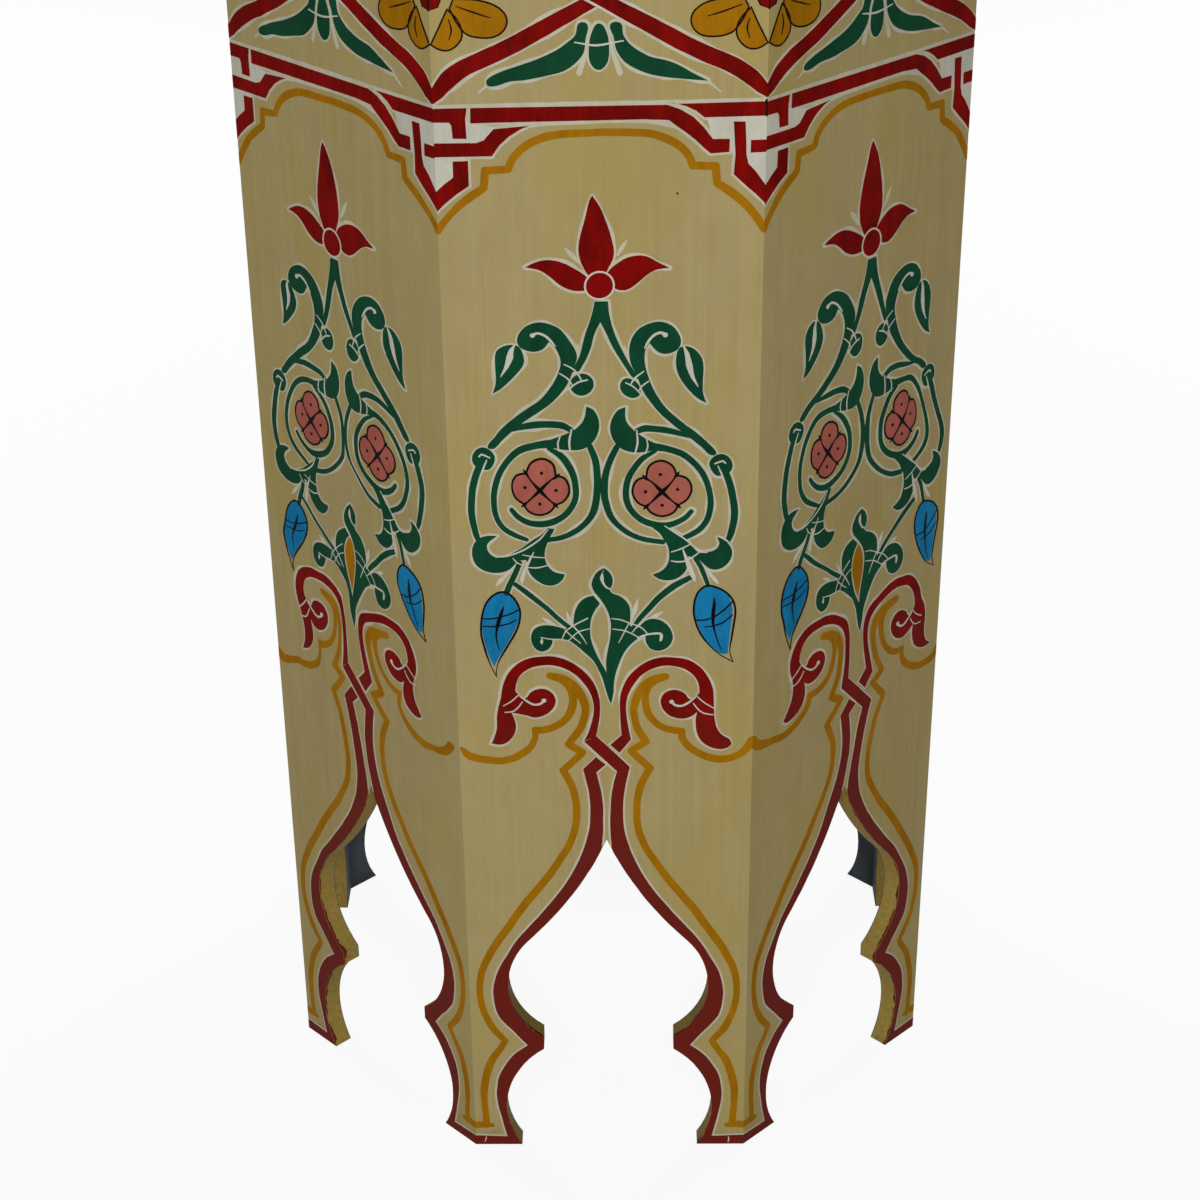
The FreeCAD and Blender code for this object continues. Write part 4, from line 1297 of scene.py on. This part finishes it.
PETALS = [
    [(-4, 553.4, 1), (-1.5, 549.6), (0.6, 545.4), (3, 539), (5, 533), (5.8, 528), (5.2, 524), (3.4, 520),
     (1.6, 516.6), (-1.6, 516), (-5.6, 516), (-8.4, 520), (-10, 524), (-10.7, 529), (-10, 534), (-8, 541),
     (-6.5, 547), (-5.4, 551)],
    [(31.4, 519.4, 1), (27, 521.8), (22, 524.8), (18, 525.7), (12, 524.5), (8, 522.4), (4.6, 519.8),
     (2.6, 516.4), (4, 512.6), (7, 509.4), (11, 508.8), (14, 510), (18, 513.3), (22, 516.8), (26, 518.8)],
    [(-35.2, 520.4, 1), (-32.4, 522), (-27, 523.7), (-22, 523.7), (-17, 522), (-12.5, 519.6), (-8.8, 517.2),
     (-6, 514), (-6.6, 509.6), (-11, 508.6), (-15, 509.5), (-19.5, 512), (-24, 516), (-28.4, 518.8)],
]
PETAL_BALL = (-0.9, 511.3, 6.3)
FLOWER_HEART = (-0.9, 511)


def flower_sheet():
    """Red three-petalled flower on its ball."""
    sheet = Sheet()
    rim = brush().rim / MM
    for petal in PETALS:
        sheet.blot("red", petal, rim=rim + 0.2)
    u, z, radius = PETAL_BALL
    sheet.dot("chalk", u, z, radius + 0.9)
    sheet.dot("ball", u, z, radius)
    sheet.stroke("rim", [(-17, 529.4, 0.6), (-14, 526.4, 2.6), (-10.6, 522.6, 1)])
    sheet.stroke("rim", [(12, 533, 0.5), (9.6, 529.6, 2.2), (7.4, 526, 1)])
    return sheet


# Width of the white line round the parts of the knotted band

KNOT_LINE = 2.6


def knot_sheet():
    """Red band under the frieze and the knots that lock it round the corners, on a white ground."""
    sheet = Sheet()
    left = [
        [(-EDGE, 599), (-59.8, 599), (-60.6, 594), (-60.4, 584.8), (-66.6, 585), (-67, 591), (-68, 592.4),
         (-EDGE, 592.6)],
        [(-EDGE, 583), (-56, 582.8), (-52.6, 584), (-48, 589), (-32, 590.2), (-36, 588.6), (-41, 585.6),
         (-45.6, 581.4), (-49, 576.5), (-EDGE, 576.5)],
        [(-67, 574.4), (-59.9, 574.4), (-59.9, 562.6), (-66, 558.6), (-71, 554.6), (-EDGE, 550.6),
         (-EDGE, 560.2), (-71, 563.8), (-67, 566.6)],
    ]
    right = [
        [(-58.2, 599), (30, 598.6), (36, 596.6), (42, 592.8), (46.6, 588.2), (49.4, 584.4), (51, 582.3),
         (58.5, 582.2), (58.4, 576), (50, 575.7), (47, 578.2), (43, 582.2), (38.5, 585.8), (34, 589),
         (31, 591.4), (20, 592.2), (-48, 592), (-58.4, 592)],
        [(35, 599), (EDGE, 599.2), (EDGE, 592.6), (47, 592.4), (43.4, 595.4), (39, 597.8)],
        [(60.2, 590.2), (65.5, 590.1), (65.8, 583), (66.2, 575), (67.2, 570.6), (70.4, 567.2),
         (EDGE, 560.4), (EDGE, 551.6), (71, 556), (66, 560.6), (60.8, 565.6), (61.2, 575)],
        [(68, 581.6), (EDGE, 581.6), (EDGE, 575.8), (68, 575.7)],
    ]
    for part in left + right:
        sheet.blot("red", part, smooth=False)
        for loop in ribbon([(u, z, KNOT_LINE) for u, z in [*part, part[0]]]):
            sheet.loop("rim", [(max(-EDGE, min(EDGE, u)), z) for u, z in loop])
    for ground in (
            [(-EDGE, 592.8), (-EDGE, 560), (-66, 560), (-59, 584), (-59, 592.5)],
            [(-60, 592.4), (-60, 582), (-52, 582), (-47, 590)],
            [(48, 592.8), (EDGE, 592.8), (EDGE, 560), (66, 568), (60, 575), (57, 583), (51, 582)]):
        sheet.loop("ground", ground[::-1])
    sheet.stroke("rim", [(-EDGE, 600, 1.3), (-20, 600.2, 1.4), (30, 600.1, 1.3), (EDGE, 600.2, 1.3)])
    sheet.stroke("rim", [(-34, 589.8, 1.4), (-20, 591, 1.7), (20, 591.2, 1.7), (34, 588.2, 1.4)])
    return sheet


# Height of the frieze's middle line, about which it is the same upside down

FRIEZE_MIDDLE = 645.5


def upside_down(points):
    return [(point[0], 2 * FRIEZE_MIDDLE - point[1], *point[2:]) for point in points]


def frieze_sheet():
    """Crossing red curves of the frieze, green leaves between them, orange flowers on the corners."""
    sheet = Sheet()
    rim = brush().rim / MM
    arm = [
        (75, 602.6, 3), (72.8, 605.2, 5.6), (68, 609.6, 7), (60, 614.6, 7.4), (50, 619, 7.4),
        (40, 623.6, 7.4), (31, 628.4, 7.4), (18, 635.6, 7), (8, 641, 6.4)]
    far = mirrored(upside_down(arm[::-1]))
    sheet.stroke("red", mirrored(arm + far), rim)
    sheet.stroke("chalk", [(u, z, width + 2 * rim) for u, z, width in arm[-2:] + far[:2]])
    sheet.stroke("ball", arm + far, rim)
    leaves = (
        [(5, 633.4), (6.3, 627.9), (7.7, 621.9), (12.1, 615.9), (21, 611.6), (32.9, 609.6), (41.8, 608.8),
         (48.5, 608.3, 1), (41.8, 611.5), (32.9, 616.2), (22.5, 619.1), (15.1, 623.4), (10.7, 628.6),
         (9.6, 634)],
        [(-5, 633.4), (-6, 627), (-7.1, 620.5), (-10.8, 616.1), (-16.1, 612.6), (-23.5, 610.9),
         (-32.5, 609.4), (-40, 608.8), (-46, 607.4), (-50.2, 607.6), (-50.4, 609.6), (-44.3, 612.5),
         (-38.3, 614.5), (-32.3, 616.5), (-24.8, 619.2), (-18.9, 622.1), (-14.4, 625.4), (-10.6, 628.8),
         (-9, 634)])
    drop = [
        (0, 634), (-3.6, 629), (-4.8, 621), (-3.8, 615.6), (-0.4, 612.9), (3.2, 615.6), (4.4, 621),
        (3.6, 629)]
    for turn in (list, upside_down):
        for leaf in leaves:
            sheet.blot("green", turn(leaf), rim=rim)
        sheet.blot("green", turn(drop), rim=rim)
        sheet.stroke("rim", turn([(4, 631, 0.6), (5.8, 622, 2), (9, 612, 2.6)]), both=True)
        sheet.stroke("chalk", turn([(-10.8, 625.6, 0.6), (-1, 624.2, 1), (10.6, 626.2, 0.6)]))
        sheet.stroke("rim", turn([(48.5, 608.1, 1.4), (54.5, 603.6, 0.5)]))
        sheet.stroke("rim", turn([(-50.8, 607.4, 1.2), (-54.3, 605, 0.5)]))
        sheet.blot("orange", turn([
            (74.7, 624.9, 1), (71, 622.7), (67, 622.3), (63.2, 624.6), (60.9, 628.4), (61.2, 633),
            (63.6, 637.4), (67, 640.6, 1), (69.6, 635), (72.4, 629.4)]), line=0.75, both=True)
        sheet.blot("orange", turn([
            (66, 641, 1), (62.5, 634), (58.5, 629.4), (51, 627.8), (44.5, 629), (41, 633), (41.4, 638),
            (46, 642.4), (54, 644.6), (64, 645.2, 1)]), line=0.75, both=True)
        sheet.stroke("black", turn([(66.4, 636, 0.4), (65.4, 631.6, 0.8), (66.6, 627, 0.4)]), both=True)
        sheet.stroke("black", turn([(63, 642, 0.4), (55, 639, 0.8), (48, 636.8, 0.4)]), both=True)
    sheet.blot("red", [
        (75, 651), (71, 649.4), (69.4, 645.5), (71, 641.6), (75, 640)], line=0.7, both=True, smooth=False)
    return sheet


def chip_sheet():
    """Old knocks: paint gone along a corner and specks at the feet."""
    sheet = Sheet()
    sheet.blot("black", [
        (74.2, 600, 1), (75, 600.4, 1), (75, 592, 1), (74.3, 593), (74.6, 596.4), (74, 598.4)])
    sheet.dot("black", 35, 555.7, 0.5)
    sheet.dot("chalk", -62, 26.5, 0.7)
    sheet.stroke("chalk", [(66.4, 1, 0.3), (66.9, 3.4, 0.9), (66.6, 5.4, 0.3)])
    sheet.stroke("chalk", [(-70, 2, 0.3), (-69.4, 4, 0.7), (-69, 6, 0.3)])
    return sheet


# Radii on the top, in millimetres: the green ring that the stems grow from, and the hearts of the flowers

WHEEL = 48
FLOWERS = 104

# Red band of the top: how far in from the edge it starts and stops, and the white along it

TOP_BAND = (11, 20)
TOP_BAND_RIM = 1.5


def on_top(_, x, y):
    return Vector((x * MM, y * MM, TABLE_TOP))


def top_sheet():
    """Table top: banded border, an ochre line inside it, and a wheel of the sides' flowers and leaves."""
    edge = TOP_APOTHEM / MM
    sheet = Sheet(limit=edge)
    rim = brush().rim / MM

    def turned(points, side):
        cos, sin = math.cos(side * TURN), math.sin(side * TURN)
        return [(u * cos + r * sin, u * sin - r * cos, *rest) for u, r, *rest in points]

    def ring(inset):
        apothem = edge - inset
        return [(-apothem * math.tan(TURN / 2), apothem), (apothem * math.tan(TURN / 2), apothem)]

    def arc_of_wheel(side):
        angles = [(side + part / 4) * TURN for part in range(5)]
        return [(WHEEL * math.sin(angle), -WHEEL * math.cos(angle), 3.2) for angle in angles]

    def band(coat, near, far, side):
        sheet.loop(coat, turned(ring(near) + ring(far)[::-1], side))

    line, crest, dip = edge - 33, edge - 29, edge - 38
    half = line * math.tan(TURN / 2)
    for side in ALL_SIDES:
        band("rim", TOP_BAND[0] - TOP_BAND_RIM, TOP_BAND[1] + TOP_BAND_RIM, side)
        band("red", *TOP_BAND, side)
        sheet.stroke("ochre", turned([
            (-half, line, 3.2), (-half + 11, crest, 3.2, 1), (-30, crest, 3.2, 1), (-20, line, 3.3),
            (0, dip, 3.4), (20, line, 3.3), (30, crest, 3.2, 1), (half - 11, crest, 3.2, 1),
            (half, line, 3.2)], side))
        for petal in PETALS:
            drawn = [(u - FLOWER_HEART[0], z - FLOWER_HEART[1] + FLOWERS, *sharp) for u, z, *sharp in petal]
            sheet.blot("red", turned(drawn, side), rim=rim)
        sheet.dot("red", *turned([(0, FLOWERS)], side)[0], 6.2, rim)
        sheet.stroke("green", turned([(0, 96, 4.4), (0, 84, 3.4), (0, 66, 3.2), (0, WHEEL, 3)], side), rim)
        sheet.stroke("green", arc_of_wheel(side), rim)
        for hand in (1, -1):
            leaf = [
                (0, 62, 1), (5 * hand, 70), (12 * hand, 77), (20 * hand, 81), (28 * hand, 80, 1),
                (24 * hand, 73.5), (16 * hand, 67), (7 * hand, 62)]
            sheet.blot("green", turned(leaf, side), rim=rim)
        between = side + 0.5
        sheet.blot("blue", turned([
            (0, 152, 1), (6, 143), (9, 132), (7.4, 121), (0, 114), (-7.4, 121), (-9, 132),
            (-6, 143)], between), rim=rim, line=0.8)
        sheet.stroke("black", turned([(0, 117, 0.5), (0, 128, 1.8), (0, 146, 0.4)], between))
        sheet.stroke("green", turned([(0, 114, 3), (0, 84, 2.6), (0, WHEEL, 2.4)], between), rim)
        sheet.blot("pink", turned([
            (0, 12, 1), (8, 20), (10.6, 30), (7, 38.6), (0, 41), (-7, 38.6), (-10.6, 30),
            (-8, 20)], between), line=0.8)
        sheet.dot("black", *turned([(0, 30)], between)[0], 1)
    sheet.dot("red", 0, 0, 11, rim)
    return sheet


# Operators

def dress(names, material):
    for name in names:
        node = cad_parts[name]
        node.data.materials.clear()
        node.data.materials.append(material)


def nodes_like(start):
    return [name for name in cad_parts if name.startswith(start)]


class TABLE_OT_boards(bpy.types.Operator):
    """Gives the side panels and the top planks their ground coats"""
    bl_idname = "table.boards"
    bl_label = "Painted boards"

    def execute(self, context):
        dress(nodes_like("side_panel"), painted_board())
        dress(nodes_like("top_plank"), painted_plank())
        return {"FINISHED"}


class TABLE_OT_inner_wood(bpy.types.Operator):
    """Gives the glue blocks and cleats bare softwood with a thin dark wash"""
    bl_idname = "table.inner_wood"
    bl_label = "Inner wood"

    def execute(self, context):
        dress(nodes_like("corner_block") + nodes_like("top_cleat"), bare_softwood())
        return {"FINISHED"}


class TABLE_OT_fixings(bpy.types.Operator):
    """Gives the screws and pins dull steel"""
    bl_idname = "table.fixings"
    bl_label = "Screws and pins"

    def execute(self, context):
        dress(["top_screws", "block_pins", "cleat_pins"], dull_steel())
        return {"FINISHED"}


class TABLE_OT_borders(bpy.types.Operator):
    """Brushes the arch borders with their scrolls"""
    bl_idname = "table.borders"
    bl_label = "Arch borders and scrolls"

    def execute(self, context):
        drawings = [(border_sheet(*tails), [side]) for side, tails in enumerate(SIDE_TAILS)]
        brush_sides("arch_borders", *drawings)
        return {"FINISHED"}


class TABLE_OT_ochre_lines(bpy.types.Operator):
    """Brushes the scalloped ochre lines and fills every second palmette"""
    bl_idname = "table.ochre_lines"
    bl_label = "Ochre lines"

    def execute(self, context):
        last = SIDES - 1
        brush_sides(
            "ochre_lines", (ochre_sheet("light", "raised"), [0]), (ochre_sheet("raised", "joined"), [1]),
            (ochre_sheet("joined", "joined"), range(2, last)), (ochre_sheet("joined", "heavy"), [last]))
        brush_sides("palmette_almonds", (almond_sheet(), range(1, SIDES, 2)), from_front=True)
        return {"FINISHED"}


class TABLE_OT_greenery(bpy.types.Operator):
    """Brushes the palmettes, stems, rings and the leaves under them"""
    bl_idname = "table.greenery"
    bl_label = "Palmettes and stems"

    def execute(self, context):
        brush_sides("palmettes", (palmette_sheet(), ALL_SIDES), from_front=True)
        brush_sides("green_stems", (stem_sheet(), ALL_SIDES))
        brush_sides("ring_leaves", (leaf_sheet(), ALL_SIDES), from_front=True)
        return {"FINISHED"}


class TABLE_OT_blossoms(bpy.types.Operator):
    """Brushes the pink blossoms, blue leaves and red flowers"""
    bl_idname = "table.blossoms"
    bl_label = "Blossoms and leaves"

    def execute(self, context):
        brush_sides("pink_blossoms", (blossom_sheet(), ALL_SIDES))
        brush_sides("blue_leaves", (blue_leaf_sheet(), ALL_SIDES), from_front=True)
        brush_sides("red_flowers", (flower_sheet(), ALL_SIDES))
        return {"FINISHED"}


class TABLE_OT_knots(bpy.types.Operator):
    """Brushes the knotted band and the frieze over it"""
    bl_idname = "table.knots"
    bl_label = "Knotted band and frieze"

    def execute(self, context):
        brush_sides("knotted_band", (knot_sheet(), ALL_SIDES))
        brush_sides("frieze", (frieze_sheet(), ALL_SIDES))
        return {"FINISHED"}


class TABLE_OT_chips(bpy.types.Operator):
    """Adds the old knocks on the front"""
    bl_idname = "table.chips"
    bl_label = "Chips"

    def execute(self, context):
        brush_sides("paint_chips", (chip_sheet(), [0]))
        return {"FINISHED"}


class TABLE_OT_top(bpy.types.Operator):
    """Brushes the ornament of the table top"""
    bl_idname = "table.top"
    bl_label = "Top ornament"

    def execute(self, context):
        lay("top_ornament", [(top_sheet(), [0])], on_top, upward)
        return {"FINISHED"}


# Floor: the white it shows the eye, the share of glow in that beside matt grey, and its drop below the feet

FLOOR_WHITE = 0.92
GLOW_SHARE = 0.8
FLOOR_GREY = (0.25, 0.25, 0.25)
FLOOR_GAP = 0.2 * MM
FLOOR_RADIUS = 14
FLOOR_PARTS = 64

# Square lights: name, place, size and the setting that holds the strength; all point at the same spot

LIGHTS = (
    ("front_light", (-0.15, -2.65, 1.35), 1.8, "key"),
    ("back_left_light", (-1.75, 2.05, 1.6), 1.1, "back"),
    ("back_right_light", (1.75, 2.05, 1.6), 1.1, "back"),
)
LIGHT_AIM = Vector((0, 0, 0.36))

# Camera: width of the sensor in millimetres, and how far it sees in metres

SENSOR = 36
SIGHT = 100


class TABLE_OT_stage(bpy.types.Operator):
    """Sets the floor, the light and the camera"""
    bl_idname = "table.stage"
    bl_label = "Stage"

    def execute(self, context):
        scene = context.scene
        scene.view_settings.view_transform = "Standard"
        self.floor(scene)
        self.light(scene)
        self.camera(scene)
        return {"FINISHED"}

    def floor(self, scene):
        bm = bmesh.new()
        bmesh.ops.create_circle(bm, cap_ends=True, segments=FLOOR_PARTS, radius=FLOOR_RADIUS)
        bmesh.ops.translate(bm, verts=bm.verts[:], vec=(0, 0, -FLOOR_GAP))
        bm.normal_update()
        for face in bm.faces:
            if face.normal.z < 0:
                face.normal_flip()
        mesh = bpy.data.meshes.new("studio_floor")
        bm.to_mesh(mesh)
        bm.free()
        finish = Finish("pale_floor")
        matt = finish.node("ShaderNodeBsdfDiffuse", {}, {"Color": FLOOR_GREY})
        glow = finish.node(
            "ShaderNodeEmission", {}, {"Color": (1, 1, 1), "Strength": FLOOR_WHITE / GLOW_SHARE})
        share = finish.shown() * GLOW_SHARE
        above = finish.node("ShaderNodeMixShader", {}, {0: share, 1: matt.outputs[0], 2: glow.outputs[0]})
        clear = finish.node("ShaderNodeBsdfTransparent")
        under = finish.node("ShaderNodeNewGeometry").outputs["Backfacing"]
        both = finish.node("ShaderNodeMixShader", {}, {0: under, 1: above.outputs[0], 2: clear.outputs[0]})
        finish.node("ShaderNodeOutputMaterial", {}, {"Surface": both.outputs[0]})
        mesh.materials.append(finish.home)
        floor = bpy.data.objects.new("studio_floor", mesh)
        scene.collection.objects.link(floor)

    def light(self, scene):
        settings = scene.table_stage
        world = bpy.data.worlds.new("studio")
        scene.world = world
        sky = Finish("studio", world)
        glow = sky.shown() * (FLOOR_WHITE - settings.fill) + settings.fill
        white = sky.node("ShaderNodeBackground", {}, {"Color": (1, 1, 1), "Strength": glow})
        sky.node("ShaderNodeOutputWorld", {}, {"Surface": white.outputs[0]})
        for name, place, size, strength in LIGHTS:
            data = bpy.data.lights.new(name, "AREA")
            data.shape = "SQUARE"
            data.size = size
            data.energy = getattr(settings, strength)
            lamp = bpy.data.objects.new(name, data)
            lamp.location = place
            aim = LIGHT_AIM - Vector(place)
            lamp.rotation_euler = aim.to_track_quat("-Z", "Y").to_euler()
            scene.collection.objects.link(lamp)

    def camera(self, scene):
        settings = scene.table_stage
        data = bpy.data.cameras.new("photo_camera")
        data.sensor_width = SENSOR
        data.lens = settings.lens
        data.clip_end = SIGHT
        camera = bpy.data.objects.new("photo_camera", data)
        turn = Matrix.Rotation(settings.yaw, 4, "Z")
        turn @= Matrix.Rotation(math.pi / 2 - settings.pitch, 4, "X")
        turn @= Matrix.Rotation(settings.roll, 4, "Z")
        camera.matrix_world = Matrix.Translation(settings.eye) @ turn
        scene.collection.objects.link(camera)
        scene.camera = camera


STEPS = (
    TABLE_OT_boards, TABLE_OT_inner_wood, TABLE_OT_fixings, TABLE_OT_borders, TABLE_OT_ochre_lines,
    TABLE_OT_greenery, TABLE_OT_blossoms, TABLE_OT_knots, TABLE_OT_chips, TABLE_OT_top, TABLE_OT_stage,
)
SETTINGS = {"table_paints": TablePaints, "table_brush": TableBrush, "table_stage": TableStage}


class TABLE_PT_sidebar(bpy.types.Panel):
    """Sidebar panel of the table"""
    bl_idname = "TABLE_PT_sidebar"
    bl_label = "Painted table"
    bl_space_type = "VIEW_3D"
    bl_region_type = "UI"
    bl_category = "Table"

    def draw(self, context):
        for step in STEPS:
            self.layout.operator(step.bl_idname)
        for group in SETTINGS:
            settings = getattr(context.scene, group)
            box = self.layout.box()
            for name in settings.__annotations__:
                box.prop(settings, name)


CLASSES = (*SETTINGS.values(), *STEPS, TABLE_PT_sidebar)


def register():
    for cls in CLASSES:
        bpy.utils.register_class(cls)
    for name, group in SETTINGS.items():
        setattr(bpy.types.Scene, name, bpy.props.PointerProperty(type=group))


def unregister():
    for name in SETTINGS:
        delattr(bpy.types.Scene, name)
    for cls in reversed(CLASSES):
        bpy.utils.unregister_class(cls)


def main():
    register()
    bpy.ops.table.boards()
    bpy.ops.table.inner_wood()
    bpy.ops.table.fixings()
    bpy.ops.table.borders()
    bpy.ops.table.ochre_lines()
    bpy.ops.table.greenery()
    bpy.ops.table.blossoms()
    bpy.ops.table.knots()
    bpy.ops.table.chips()
    bpy.ops.table.top()
    bpy.ops.table.stage()


if __name__ == "__main__":
    main()
